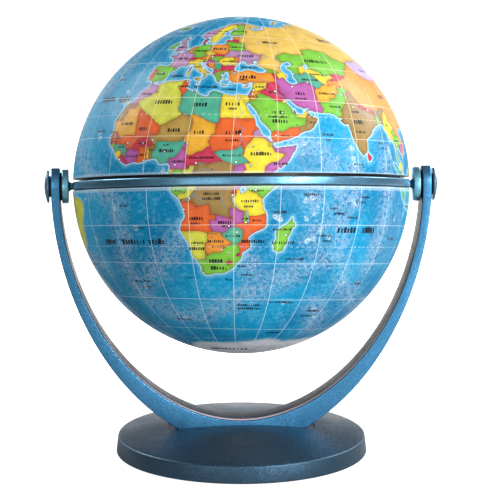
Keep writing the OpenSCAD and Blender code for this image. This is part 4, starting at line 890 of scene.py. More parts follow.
# small islands, as longitude and latitude
ISLES = """
    -15.5 28, -14 28.6, -17.8 28.7, -16.5 28.2, -23.5 15, -24.5 16.8, -25 16.6, -24.3 14.9, -28 38.5,
    -25.5 37.8, -17 32.7, -5.7 -16, -14.4 -7.9, -12.3 -37.1, -9.9 -40.3, 6.7 0.3, 7.4 1.6, 55.5 -4.6,
    55.8 -4.2, 53.3 -5.4, 43.3 -11.7, 44.4 -12.2, 45.2 -12.8, 57.5 -20.3, 55.5 -21.1, 63.4 -19.7,
    54 -12.5, 56.5 -10.4, 59.6 -16.6, 72.4 -7.3, 71.8 -5.4, 73.5 4.2, 73 0.5, 73.2 2.2, 72.8 6.8, 72.6 11,
    93 12, 92.8 10.5, 93.8 8, 53.9 12.5, 51.8 -46.4, 37.8 -46.9, 69.3 -49.3, 70 -49, 73.5 -53.1,
    77.5 -37.8, 3.4 -54.4, 96.9 -12.2, 105.6 -10.5, 14.4 35.9, 27.9 36.3, 25 37.1, 26 38.5, 3 39.6,
    2.9 39.9, -32.4 -3.9, -29.3 -20.5, -36.5 -54.4, -59 -51.8"""


# ---- printing the map on the ball ----

# a half's print: the longitude at its front, the stretch of its degrees near the rim, and its sideways slip
PRINTS = {"north": (35.98, 0.7867, (0.043, -0.004)), "south": (34.61, 0.7728, (-0.019, 0.004))}
LIP_DEG = 2.05
# the chart's radius is 1: its plain spacing, and the rings of points about a town's dot
GRID = 0.0125
ROW = 0.87
DOT_RADII = (0.0036, 0.0062)
RIM_POINTS = 360
# a coast's natural bends: the step between points and the coarse and fine waves, in degrees
LINE_STEP = 0.6
BROAD_WAVE = 0.9
FINE_WAVE = 2.3
RUN_ON = 0.7
LABEL_SIZE = 1.45
STROKE_STEP = 0.62
STROKE_W = 0.2
STROKE_STRETCH = 1.1
TIE = 2e-5
# millimetres between the spots that a printed line's distance is measured from
LINE_PIECE = 0.3


class Print:
    """Where a half's print falls: longitude and latitude to the flat chart, and the chart to the ball."""

    def __init__(self, half):
        self.sign = 1 if half == "north" else -1
        self.lon0, self.near, self.slip = PRINTS[half]
        # the stretch grows evenly from the rim, so that the pole falls on the chart's middle
        self.far = (1 - LIP_DEG / 90 - self.near) / 90
        lip = NORTH_LIP if half == "north" else SOUTH_LIP
        self.rim = 1 - math.degrees(math.asin(lip / BALL_R)) / 90

    def chart(self, lon, lat):
        """The chart's point for a place; the chart's middle is the pole, and its rim is by the ring."""
        a = self.sign * lat
        rho = (90 - LIP_DEG - a * (self.near + self.far * a)) / 90
        turn = math.radians(lon - self.lon0)
        return Vector((rho * math.sin(turn), -rho * math.cos(turn)))

    def latitude(self, p):
        """The latitude printed at a point of the chart."""
        reach = 90 * (1 - p.length) - LIP_DEG
        root = max(self.near ** 2 + 4 * self.far * reach, 0)
        return self.sign * (math.sqrt(root) - self.near) / (2 * self.far)

    def slipped(self, p):
        """Where a point of the chart comes to lie once the print has slipped sideways."""
        q = p.copy()
        for _ in range(6):
            q = p + Vector(self.slip) * (1 - q.length_squared)
        return q

    def unslipped(self, q):
        return q - Vector(self.slip) * (1 - q.length_squared)

    def on_ball(self, p):
        """The direction from the ball's middle, before the ball leans."""
        q = self.slipped(p)
        tilt = q.length * math.pi / 2
        d = q.normalized() if q.length > 1e-9 else Vector((0, 0))
        return Vector((math.sin(tilt) * d.x, math.sin(tilt) * d.y, self.sign * math.cos(tilt)))


def points_of(text):
    """Pairs of numbers, as longitude and latitude."""
    values = [float(v) for v in text.replace(",", " ").split()]
    return list(zip(values[::2], values[1::2]))


def lines_of(text):
    """One line of points for each row; a row that ends in a comma goes on in the next."""
    return [points_of(line) for line in text.replace(",\n", ", ").strip().splitlines()]


def roughened(points, wander):
    """The same line with small natural bends between its points."""
    line = [points[0]]
    for (x0, y0), (x1, y1) in zip(points, points[1:]):
        squeeze = max(math.cos(math.radians((y0 + y1) / 2)), 0.15)
        length = math.hypot((x1 - x0) * squeeze, y1 - y0)
        count = max(1, round(length / LINE_STEP))
        for i in range(1, count):
            t = i / count
            bend = 4 * t * (1 - t) * wander * min(length, 4)
            x = x0 + (x1 - x0) * t
            y = y0 + (y1 - y0) * t
            broad = noise.noise_vector(Vector((x * BROAD_WAVE, y * BROAD_WAVE, 3.1)))
            fine = noise.noise_vector(Vector((x * FINE_WAVE, y * FINE_WAVE, 7.7)))
            sway = broad + 0.6 * fine
            line.append((x + sway.x * bend / squeeze, y + sway.y * bend))
        line.append((x1, y1))
    return line


def closed(points):
    return points + points[:1]


def loosened(lines):
    """Border ends that meet nothing run on a little, so that no country leaks into its neighbour."""
    met = {}
    for line in lines + [points_of(t) for t in (*COASTS.values(), *LAKES.values())]:
        for p in set(line):
            met[p] = met.get(p, 0) + 1
    for line in lines:
        ends = [(line[0], line[1], 0), (line[-1], line[-2], len(line))]
        for end, inner, index in ends:
            if met[end] < 2:
                run_on = Vector(end) + (Vector(end) - Vector(inner)).normalized() * RUN_ON
                line.insert(0 if index == 0 else len(line), tuple(run_on))
    return lines


def inside(spots, outline):
    """Which of the spots lie inside a closed outline, by counting crossings."""
    x, y = spots
    odd = np.zeros(len(x), bool)
    for (x0, y0), (x1, y1) in zip(outline, outline[1:] + outline[:1]):
        if y0 != y1:
            odd ^= ((y0 > y) != (y1 > y)) & (x < x0 + (y - y0) * (x1 - x0) / (y1 - y0))
    return odd


def linear(r, g, b):
    """A screen colour's red, green and blue, 0 to 255, as the light that they stand for."""
    shares = [c / 255 for c in (r, g, b)]
    return tuple(c / 12.92 if c <= 0.04045 else ((c + 0.055) / 1.055) ** 2.4 for c in shares)


def ink_colour(name):
    code = INKS[name].lstrip("#")
    return list(linear(*[int(code[i:i + 2], 16) for i in (0, 2, 4)]))


def country_seeds():
    for entry in COUNTRIES.split(";"):
        ink, lon, lat, _ = entry.split()
        yield ink, float(lon), float(lat)


# with a set seed, the coasts bend the same way in every run
noise.seed_set(4)
COAST_LINES = {name: roughened(closed(points_of(text)), 0.16) for name, text in COASTS.items()}
COAST_LINES["antarctica"] = roughened(points_of(COASTS["antarctica"]), 0.16)
LAKE_LINES = [roughened(closed(points_of(text)), 0.1) for text in LAKES.values()]
BORDER_LINES = [roughened(line, 0.07) for line in loosened(lines_of(BORDERS))]
RIVER_LINES = [roughened(line, 0.14) for line in lines_of(RIVERS)]
RIDGE_LINES = [roughened(line, 0.12) for line in lines_of(RIDGES)]
CAPITAL_SPOTS = points_of(CAPITALS)


def label_strokes(printed):
    """The corners, on the chart, of every upright stroke that stands for a printed name."""
    mm_to_degree = 180 / math.pi / BALL_R
    strokes = []
    for label, entry in enumerate(LABELS.split(",")):
        lon, lat, count, height = [float(v) for v in entry.split()]
        height *= LABEL_SIZE
        squeeze = math.cos(math.radians(lat))
        step = STROKE_STEP * height
        for i in range(int(count)):
            lively = noise.noise(Vector((label * 1.7 + 0.3, i * 0.83, 5.2)))
            wide = STROKE_W * height * (1 + lively)
            foot = -0.5 * height
            top = foot + height * (0.82 + 0.3 * lively)
            across = (i - (count - 1) / 2) * step
            box = []
            for dx, dy in ((-wide, foot), (wide, foot), (wide, top), (-wide, top)):
                x = lon + (across + dx) * mm_to_degree / squeeze
                box.append(printed.chart(x, lat + dy * mm_to_degree * STROKE_STRETCH))
            if max(p.length for p in box) < printed.rim - 0.01:
                strokes.append(box)
    return strokes


def on_circle(turn):
    return Vector((math.cos(turn), math.sin(turn)))


def middle_of(verts, face):
    return sum((verts[v] for v in face), Vector((0, 0))) / 3


def cut_chart(printed, dots, strokes):
    """Cuts the flat chart into triangles along every line; gives points, triangles and each edge's kind."""
    points = []
    edges = []
    kinds = []
    lands = [line for name, line in COAST_LINES.items() if name != "antarctica" or printed.sign < 0]
    for kind, lines in (("coast", lands + LAKE_LINES), ("border", BORDER_LINES), ("river", RIVER_LINES)):
        for line in lines:
            drawn = [printed.chart(*p) for p in line]
            near = [p.length < 1.02 for p in drawn]
            for i in range(len(drawn) - 1):
                if near[i] or near[i + 1]:
                    points += [drawn[i], drawn[i + 1]]
                    edges.append((len(points) - 2, len(points) - 1))
                    kinds.append(kind)
    for box in strokes:
        points += box
        edges += [(len(points) - 4 + k, len(points) - 4 + (k + 1) % 4) for k in range(4)]
        kinds += ["stroke"] * 4
    for i in range(RIM_POINTS):
        ends = [2 * math.pi * (i + k) / RIM_POINTS for k in (0, 1)]
        points += [printed.unslipped(printed.rim * on_circle(t)) for t in ends]
        edges.append((len(points) - 2, len(points) - 1))
        kinds.append("rim")
    rows = int(1.2 / GRID)
    for j in range(-rows, rows + 1):
        for i in range(-rows, rows + 1):
            q = Vector((i + 0.5 * (j % 2), j * ROW)) * GRID
            if q.length < printed.rim - 0.4 * GRID:
                points.append(printed.unslipped(q))
    for middle in dots:
        points.append(middle)
        for radius in DOT_RADII:
            points += [middle + radius * on_circle(t) for t in np.linspace(0, 2 * math.pi, 9)[:8]]
    verts, out_edges, faces, _, edge_ids, _ = delaunay_2d_cdt(points, edges, [], 0, TIE)
    edge_kinds = {}
    for edge, ids in zip(out_edges, edge_ids):
        found = {kinds[k] for k in ids}
        if found:
            edge_kinds[tuple(sorted(edge))] = found
    faces = [f for f in faces if printed.slipped(middle_of(verts, f)).length < printed.rim + 1e-6 - TIE]
    return verts, faces, edge_kinds


def regions_of(faces, edge_kinds):
    """Numbers each triangle's region: what can be reached without crossing a coast or border."""
    walls = {"coast", "border", "rim"}
    sides = {}
    for index, face in enumerate(faces):
        for a, b in zip(face, face[1:] + face[:1]):
            sides.setdefault((min(a, b), max(a, b)), []).append(index)
    region = [-1] * len(faces)
    count = 0
    for start in range(len(faces)):
        if region[start] >= 0:
            continue
        region[start] = count
        todo = [start]
        while todo:
            face = faces[todo.pop()]
            for a, b in zip(face, face[1:] + face[:1]):
                edge = (min(a, b), max(a, b))
                if edge_kinds.get(edge, set()) & walls:
                    continue
                for other in sides[edge]:
                    if region[other] < 0:
                        region[other] = count
                        todo.append(other)
        count += 1
    return region, count, sides


def inks_of(printed, verts, faces, edge_kinds):
    """The ink's name for every triangle, or None at sea, and each edge's two triangles."""
    region, count, sides = regions_of(faces, edge_kinds)
    corners = np.array([[verts[v][:2] for v in f] for f in faces])
    ab = corners[:, 1] - corners[:, 0]
    ac = corners[:, 2] - corners[:, 0]
    area = np.abs(ab[:, 0] * ac[:, 1] - ab[:, 1] * ac[:, 0])
    biggest = {}
    for index in np.argsort(area):
        biggest[region[index]] = index
    samples = corners[[biggest[r] for r in range(count)]].mean(axis=1).T
    land = np.zeros(count, bool)
    for name, line in COAST_LINES.items():
        if name != "antarctica" or printed.sign < 0:
            land |= inside(samples, [tuple(printed.chart(*p)) for p in line])
    for line in LAKE_LINES:
        land &= ~inside(samples, [tuple(printed.chart(*p)) for p in line])
    ink = {}
    det = ab[:, 0] * ac[:, 1] - ab[:, 1] * ac[:, 0]
    det[np.abs(det) < 1e-14] = 1e-14
    for colour, lon, lat in country_seeds():
        p = printed.chart(lon, lat)
        if p.length > printed.rim - 0.002:
            continue
        d = np.array(p[:]) - corners[:, 0]
        u = (d[:, 0] * ac[:, 1] - d[:, 1] * ac[:, 0]) / det
        v = (ab[:, 0] * d[:, 1] - ab[:, 1] * d[:, 0]) / det
        hits = np.nonzero((u >= 0) & (v >= 0) & (u + v <= 1))[0]
        if len(hits) and land[region[hits[0]]]:
            ink[region[hits[0]]] = colour
    # a scrap of land without a point of its own takes the ink that it shares most border with
    for _ in range(4):
        votes = {}
        for edge, both in sides.items():
            if len(both) == 2:
                for here, there in (both, both[::-1]):
                    a, b = region[here], region[there]
                    if land[a] and a not in ink and b in ink:
                        length = (verts[edge[0]] - verts[edge[1]]).length
                        votes.setdefault(a, {}).setdefault(ink[b], []).append(length)
        for a, found in votes.items():
            ink[a] = max(found, key=lambda colour: sum(found[colour]))
    return [ink.get(r, "ice") if land[r] else None for r in region], sides


def spread_tree(spots):
    """A search tree of the spots; with none, a single one far away."""
    tree = KDTree(max(len(spots), 1))
    for index, spot in enumerate(spots or [Vector((0, 0, 9000))]):
        tree.insert(spot, index)
    tree.balance()
    return tree


def skin_triangles(faces, inks, edge_kinds, verts):
    """Triangles whose corners all lie on lines get a point in the middle, so that the lines stay thin."""
    on_line = set()
    for edge, kinds in edge_kinds.items():
        if kinds - {"rim", "stroke"}:
            on_line |= set(edge)
    new_faces = []
    new_inks = []
    for face, ink in zip(faces, inks):
        if all(v in on_line for v in face):
            verts.append(middle_of(verts, face))
            new_faces += [(a, b, len(verts) - 1) for a, b in zip(face, face[1:] + face[:1])]
            new_inks += [ink] * 3
        else:
            new_faces.append(tuple(face))
            new_inks.append(ink)
    return new_faces, new_inks


def in_strokes(verts, faces, strokes):
    """Marks with 1 the triangles that lie in a label's stroke."""
    tree = spread_tree([(*middle_of(verts, f), 0) for f in faces])
    marks = [0.0] * len(faces)
    for box in strokes:
        middle = sum(box, Vector((0, 0))) / 4
        reach = max((corner - middle).length for corner in box)
        for spot, index, _ in tree.find_range((*middle, 0), reach):
            sides = [(b - a).cross(spot.xy - a) for a, b in zip(box, box[1:] + box[:1])]
            if min(sides) > 0 or max(sides) < 0:
                marks[index] = 1.0
    return marks


def map_skin(half):
    """One half's printed skin: a thin cap of the ball, with its inks and its distances from printed lines."""
    printed = Print(half)
    dots = [printed.chart(*p) for p in CAPITAL_SPOTS]
    dots = [p for p in dots if p.length < printed.rim - 0.01]
    isles = [printed.chart(*p) for p in points_of(ISLES)]
    isles = [p for p in isles if p.length < printed.rim - 0.01]
    strokes = label_strokes(printed)
    verts, faces, edge_kinds = cut_chart(printed, dots + isles, strokes)
    verts = [Vector(v) for v in verts]
    faces = [list(f) for f in faces]
    inks, sides = inks_of(printed, verts, faces, edge_kinds)
    spots = {"coast": [], "border": [], "river": []}
    for edge, kinds in edge_kinds.items():
        near = sides.get(edge, [])
        if len(near) < 2:
            continue
        dry = [inks[i] is not None for i in near]
        ends = [printed.on_ball(verts[v]) * BALL_R for v in edge]
        pieces = max(1, int((ends[0] - ends[1]).length / LINE_PIECE))
        line = [ends[0].lerp(ends[1], t) for t in np.linspace(0, 1, 1 + pieces)]
        if dry[0] != dry[1]:
            spots["coast"] += line
        elif all(dry) and "border" in kinds and inks[near[0]] != inks[near[1]]:
            spots["border"] += line
        elif all(dry) and "river" in kinds:
            spots["river"] += line
    spots["dot"] = [printed.on_ball(p) * BALL_R for p in dots]
    spots["isle"] = [printed.on_ball(p) * BALL_R for p in isles]
    ridges = [printed.chart(*p) for line in RIDGE_LINES for p in line]
    spots["ridge"] = [printed.on_ball(p) * BALL_R for p in ridges if p.length < 1.1]
    faces, inks = skin_triangles(faces, inks, edge_kinds, verts)
    lettered = in_strokes(verts, faces, strokes)
    used = sorted({v for f in faces for v in f})
    number = {v: i for i, v in enumerate(used)}
    verts = [verts[v] for v in used]
    faces = [tuple(number[v] for v in f) for f in faces]
    turn = Matrix.Rotation(-LEAN, 3, "X")
    on_ball = [printed.on_ball(p) for p in verts]
    mesh = bpy.data.meshes.new(half + "_map")
    mesh.from_pydata([(turn @ d * BALL_R + CENTRE) * MM for d in on_ball], [], faces)
    for name, found in spots.items():
        tree = spread_tree(found)
        layer = mesh.attributes.new(name, "FLOAT", "POINT")
        layer.data.foreach_set("value", [tree.find(d * BALL_R)[2] for d in on_ball])
    layer = mesh.attributes.new("latitude", "FLOAT", "POINT")
    layer.data.foreach_set("value", [printed.latitude(p) for p in verts])
    layer = mesh.attributes.new("stroke", "FLOAT", "FACE")
    layer.data.foreach_set("value", lettered)
    layer = mesh.attributes.new("ink", "FLOAT_COLOR", "CORNER")
    colours = {name: ink_colour(name) + [1.0] for name in INKS}
    colours[None] = ink_colour("sea") + [0.0]
    layer.data.foreach_set("color", [c for ink in inks for _ in range(3) for c in colours[ink]])
    spin = Matrix.Rotation(math.radians(printed.lon0), 2)
    chart = mesh.uv_layers.new(name="map_chart")
    flat = mesh.uv_layers.new(name="OFBake")
    for loop in mesh.loops:
        p = verts[loop.vertex_index]
        chart.data[loop.index].uv = spin @ p
        flat.data[loop.index].uv = printed.slipped(p) * 0.495 + Vector((0.5, 0.5))
    obj = bpy.data.objects.new(half + "_map_print", mesh)
    bpy.context.scene.collection.objects.link(obj)
    outward(obj)
    return closed_skin(obj)


def closed_skin(obj):
    """Gives the printed cap its thickness, exact round normals, and a place apart for the inside's chart."""
    solid = obj.modifiers.new("thickness", "SOLIDIFY")
    solid.thickness = SKIN_T * MM
    solid.offset = -1
    solid.use_even_offset = True
    apply_modifiers(obj)
    mesh = obj.data
    middle_r = (BALL_R - SKIN_T / 2) * MM
    centre = CENTRE * MM
    flat = mesh.uv_layers["OFBake"]
    normals = [None] * len(mesh.loops)
    chart_middle = Vector((0.5, 0.5))
    inside_corner = Vector((0.07, 0.07))
    rim_corner = Vector((0.93, 0.07))
    for face in mesh.polygons:
        face.use_smooth = True
        radii = [(mesh.vertices[v].co - centre).length for v in face.vertices]
        outer = min(radii) > middle_r
        inner = max(radii) < middle_r
        for loop in face.loop_indices:
            from_centre = mesh.vertices[mesh.loops[loop].vertex_index].co - centre
            outwards = from_centre.normalized()
            normals[loop] = outwards if outer else -outwards if inner else face.normal.copy()
            at = flat.data[loop].uv - chart_middle
            if inner:
                flat.data[loop].uv = at * 0.13 + inside_corner
            elif not outer:
                below = BALL_R - from_centre.length / MM
                flat.data[loop].uv = at * (0.1 + 0.04 * below) + rim_corner
    mesh.normals_split_custom_set(normals)
    return obj


# ---- materials ----


class Tree:
    """Short ways to add and join nodes in one node tree."""

    def __init__(self, tree):
        self.tree = tree

    def node(self, kind, label=None, **settings):
        made = self.tree.nodes.new("ShaderNode" + kind)
        if label:
            made.label = label
        for key, value in settings.items():
            if key.startswith("in_"):
                self.feed(made.inputs[key[3:].replace("_", " ")], value)
            else:
                setattr(made, key, value)
        return made

    def feed(self, socket, value):
        if isinstance(value, bpy.types.NodeSocket):
            self.tree.links.new(value, socket)
        elif isinstance(value, (tuple, list)) and len(value) == 3 and socket.type == "RGBA":
            socket.default_value = (*value, 1)
        else:
            socket.default_value = value

    def math(self, operation, a, b=None, clamp=False):
        made = self.node("Math", operation=operation, use_clamp=clamp)
        self.feed(made.inputs[0], a)
        if b is not None:
            self.feed(made.inputs[1], b)
        return made.outputs[0]

    def mix(self, factor, a, b, blend="MIX"):
        made = self.node("Mix", data_type="RGBA", blend_type=blend)
        self.feed(made.inputs[0], factor)
        self.feed(made.inputs[6], a)
        self.feed(made.inputs[7], b)
        return made.outputs[2]

    def ramp(self, value, low_in, high_in, low_out=0.0, high_out=1.0, smooth=True):
        made = self.node("MapRange", interpolation_type="SMOOTHSTEP" if smooth else "LINEAR")
        for index, v in enumerate((value, low_in, high_in, low_out, high_out)):
            self.feed(made.inputs[index], v)
        return made.outputs[0]

    def noise(self, place, scale, detail=3.0, rough=0.5):
        made = self.node("TexNoise", in_Scale=scale, in_Detail=detail, in_Roughness=rough)
        self.feed(made.inputs["Vector"], place)
        return made.outputs["Fac"]


def node_group(name, takes, gives):
    """An empty node group with named sockets, and its tree helper."""
    tree = bpy.data.node_groups.new(name, "ShaderNodeTree")
    kinds = {"value": "NodeSocketFloat", "colour": "NodeSocketColor", "vector": "NodeSocketVector"}
    for label, kind, default in takes:
        socket = tree.interface.new_socket(label, in_out="INPUT", socket_type=kinds[kind])
        if default is not None:
            socket.default_value = default
    for label, kind in gives:
        tree.interface.new_socket(label, in_out="OUTPUT", socket_type=kinds[kind])
    helper = Tree(tree)
    helper.start = tree.nodes.new("NodeGroupInput")
    helper.end = tree.nodes.new("NodeGroupOutput")
    return helper


def handling_group():
    """Smudges, fine hairline scuffs and a little settled dust."""
    t = node_group("handling", [("Roughness", "value", 0.3), ("Spread", "value", 0.1)],
                   [("Roughness", "value"), ("Dust", "value"), ("Normal", "vector")])
    at = t.node("TexCoord").outputs["Object"]
    smudge = t.ramp(t.noise(at, 70, 4, 0.55), 0.35, 0.7, -1, 1)
    streaked = t.node("Mapping", in_Scale=(30, 900, 200), in_Rotation=(0.4, 0.2, 0.9))
    t.feed(streaked.inputs["Vector"], at)
    scuff = t.ramp(t.noise(streaked.outputs[0], 1, 2, 0.6), 0.66, 0.72)
    blend = t.math("ADD", smudge, t.math("MULTIPLY", scuff, 0.6))
    rough = t.math("ADD", t.start.outputs["Roughness"], t.math("MULTIPLY", blend, t.start.outputs["Spread"]))
    t.feed(t.end.inputs["Roughness"], rough)
    up = t.node("SeparateXYZ", in_Vector=t.node("NewGeometry").outputs["Normal"]).outputs["Z"]
    speck = t.ramp(t.noise(at, 1900, 2, 0.6), 0.66, 0.74)
    t.feed(t.end.inputs["Dust"], t.math("MULTIPLY", t.ramp(up, 0.2, 0.9), speck))
    bump = t.node("Bump", in_Strength=0.05, in_Distance=0.0001, in_Height=t.noise(at, 260, 3, 0.5))
    t.feed(t.end.inputs["Normal"], bump.outputs[0])
    return t.tree


FLAKES_PER_METRE = 5200.0


def flake_group():
    """Fine metal flakes in a lacquer: a grain of brighter and darker cells, each tilted its own way."""
    t = node_group("metal_flake", [("Colour", "colour", None), ("Sparkle", "value", 0.2)],
                   [("Colour", "colour"), ("Normal", "vector")])
    place = t.node("TexCoord").outputs["Object"]
    cells = t.node("TexVoronoi", in_Scale=FLAKES_PER_METRE)
    t.feed(cells.inputs["Vector"], place)
    tone = t.node("SeparateColor")
    t.feed(tone.inputs[0], cells.outputs["Color"])
    lift = t.ramp(tone.outputs[0], 0, 1, 0.72, 1.28, smooth=False)
    cloud = t.ramp(t.noise(place, 40, 3), 0.3, 0.7, 0.95, 1.05)
    shade = t.node("VectorMath", operation="SCALE")
    t.feed(shade.inputs[0], t.start.outputs["Colour"])
    t.feed(shade.inputs["Scale"], t.math("MULTIPLY", lift, cloud))
    t.feed(t.end.inputs["Colour"], shade.outputs[0])
    tilt = t.node("VectorMath", operation="SUBTRACT")
    t.feed(tilt.inputs[0], cells.outputs["Color"])
    tilt.inputs[1].default_value = (0.5, 0.5, 0.5)
    spread = t.node("VectorMath", operation="SCALE")
    t.feed(spread.inputs[0], tilt.outputs[0])
    t.feed(spread.inputs["Scale"], t.start.outputs["Sparkle"])
    leaning = t.node("VectorMath", operation="ADD")
    t.feed(leaning.inputs[0], spread.outputs[0])
    t.feed(leaning.inputs[1], t.node("NewGeometry").outputs["Normal"])
    unit = t.node("VectorMath", operation="NORMALIZE")
    t.feed(unit.inputs[0], leaning.outputs[0])
    t.feed(t.end.inputs["Normal"], unit.outputs[0])
    return t.tree


GROUPS = {"handling": handling_group(), "flake": flake_group()}


def material(name):
    made = bpy.data.materials.new(name)
    made.use_nodes = True
    t = Tree(made.node_tree)
    t.shader = made.node_tree.nodes["Principled BSDF"]
    t.material = made
    return t


def grouped(t, group, **values):
    made = t.node("Group", node_tree=GROUPS[group])
    for key, value in values.items():
        t.feed(made.inputs[key.replace("_", " ")], value)
    return made


def dusted(t, colour, handling):
    return t.mix(t.math("MULTIPLY", handling.outputs["Dust"], 0.25), colour, linear(205, 203, 196))


def toward_middle(t, at):
    """How squarely a face of the arm looks at the middle of the ball, 0 to 1."""
    out = t.node("SeparateXYZ", in_Vector=t.node("NewGeometry").outputs["Normal"]).outputs
    above = t.math("SUBTRACT", at["Z"], PIVOT_Z * MM)
    squares = [t.math("MULTIPLY", side, side) for side in (at["X"], above)]
    reach = t.math("SQRT", t.math("ADD", *squares))
    facing = t.math("ADD", t.math("MULTIPLY", at["X"], out["X"]), t.math("MULTIPLY", above, out["Z"]))
    return t.ramp(t.math("DIVIDE", facing, t.math("MULTIPLY", reach, -1)), 0.45, 0.75)


def inner_painted_shade(t, paint):
    """The arm's inner face in painted shade: dark, with a pale band of painted light by its front edge that
    fades at the sides.
    Gives the colour and how much painted shade the place takes."""
    at = t.node("SeparateXYZ", in_Vector=t.node("TexCoord").outputs["Object"]).outputs
    inward = toward_middle(t, at)
    from_face = t.math("ADD", at["Y"], ARM_DEPTH / 2 * MM)
    front = t.math("MULTIPLY", t.ramp(from_face, 0.0006, 0.0008), t.ramp(from_face, 0.0030, 0.0032, 1, 0))
    low = t.ramp(at["Z"], 0.03, 0.075, 1, 0)
    # painted shade: near black where the face looks at the ball, with a painted pale band of light low by the
    # front edge
    painted_shade_and_light = t.mix(t.math("MULTIPLY", front, low), linear(20, 24, 32), linear(176, 164, 180))
    return t.mix(inward, paint, painted_shade_and_light), inward


def flake_paint(name, colour, roughness, metallic, coat, sparkle, with_painted_inner_shade=False):
    t = material(name)
    handling = grouped(t, "handling", Roughness=roughness, Spread=0.05)
    flake = grouped(t, "flake", Colour=colour, Sparkle=sparkle)
    s = t.shader.inputs
    paint = flake.outputs["Colour"]
    if with_painted_inner_shade:
        # the inner face takes painted shade, with less metal, coat and specular there
        paint, painted_shade_share = inner_painted_shade(t, paint)
        metallic = t.ramp(painted_shade_share, 0, 1, metallic, 0)
        coat = t.ramp(painted_shade_share, 0, 1, coat, 0)
        t.feed(s["Specular IOR Level"], t.ramp(painted_shade_share, 0, 1, 0.5, 0.12))
    t.feed(s["Base Color"], dusted(t, paint, handling))
    t.feed(s["Normal"], flake.outputs["Normal"])
    t.feed(s["Metallic"], metallic)
    t.feed(s["Roughness"], handling.outputs["Roughness"])
    t.feed(s["Coat Weight"], coat)
    t.feed(s["Coat Roughness"], 0.12)
    t.feed(s["Coat Normal"], handling.outputs["Normal"])
    return t.material


def plastic(name, colour, roughness, grain=900, depth=0.00003, sheen=0.4):
    t = material(name)
    handling = grouped(t, "handling", Roughness=roughness, Spread=0.08)
    place = t.node("TexCoord").outputs["Object"]
    cloud = t.ramp(t.noise(place, 55, 3), 0.3, 0.7, 0.9, 1.08)
    grain_height = t.noise(place, grain, 4, 0.6)
    bump = t.node("Bump", in_Strength=0.4, in_Distance=depth, in_Height=grain_height)
    tinted = t.mix(cloud, tuple(c * 0.8 for c in colour), colour)
    s = t.shader.inputs
    t.feed(s["Base Color"], dusted(t, tinted, handling))
    t.feed(s["Roughness"], handling.outputs["Roughness"])
    t.feed(s["Specular IOR Level"], sheen)
    t.feed(s["Normal"], bump.outputs[0])
    return t.material


def metal(name, colour, roughness, stretch=(40, 40, 2400), rust=0.0):
    """Bare or plated metal with turning or rolling marks, and a trace of rust where asked."""
    t = material(name)
    handling = grouped(t, "handling", Roughness=roughness, Spread=0.1)
    place = t.node("TexCoord").outputs["Object"]
    marks = t.node("Mapping", in_Scale=stretch)
    t.feed(marks.inputs["Vector"], place)
    lines = t.noise(marks.outputs[0], 1, 3, 0.7)
    toned = t.mix(t.ramp(lines, 0.3, 0.7), tuple(c * 0.75 for c in colour), colour)
    spots = t.math("MULTIPLY", t.ramp(t.noise(place, 160, 5, 0.7), 0.56, 0.68), rust)
    bump = t.node("Bump", in_Strength=0.3, in_Distance=0.00002, in_Height=lines)
    s = t.shader.inputs
    t.feed(s["Base Color"], t.mix(spots, toned, linear(96, 58, 36)))
    t.feed(s["Metallic"], t.ramp(spots, 0, 1, 1, 0.2))
    t.feed(s["Roughness"], handling.outputs["Roughness"])
    t.feed(s["Normal"], bump.outputs[0])
    return t.material


def attribute(t, name, kind="Fac"):
    return t.node("Attribute", attribute_name=name).outputs[kind]


def line_mask(t, distance, half_width, soft=0.09):
    """1 on a printed line and 0 off it; both widths are in millimetres."""
    return t.ramp(distance, half_width - soft, half_width + soft, 1, 0)


def near_level(t, value, level, width):
    """1 where a value lies at the level, fading to 0 at the width on either side."""
    return t.ramp(t.math("ABSOLUTE", t.math("SUBTRACT", value, level)), 0.0, width, 1, 0)


GRID_DEG = 15
TROPIC = 23.44
POLAR_CIRCLE = 66.56


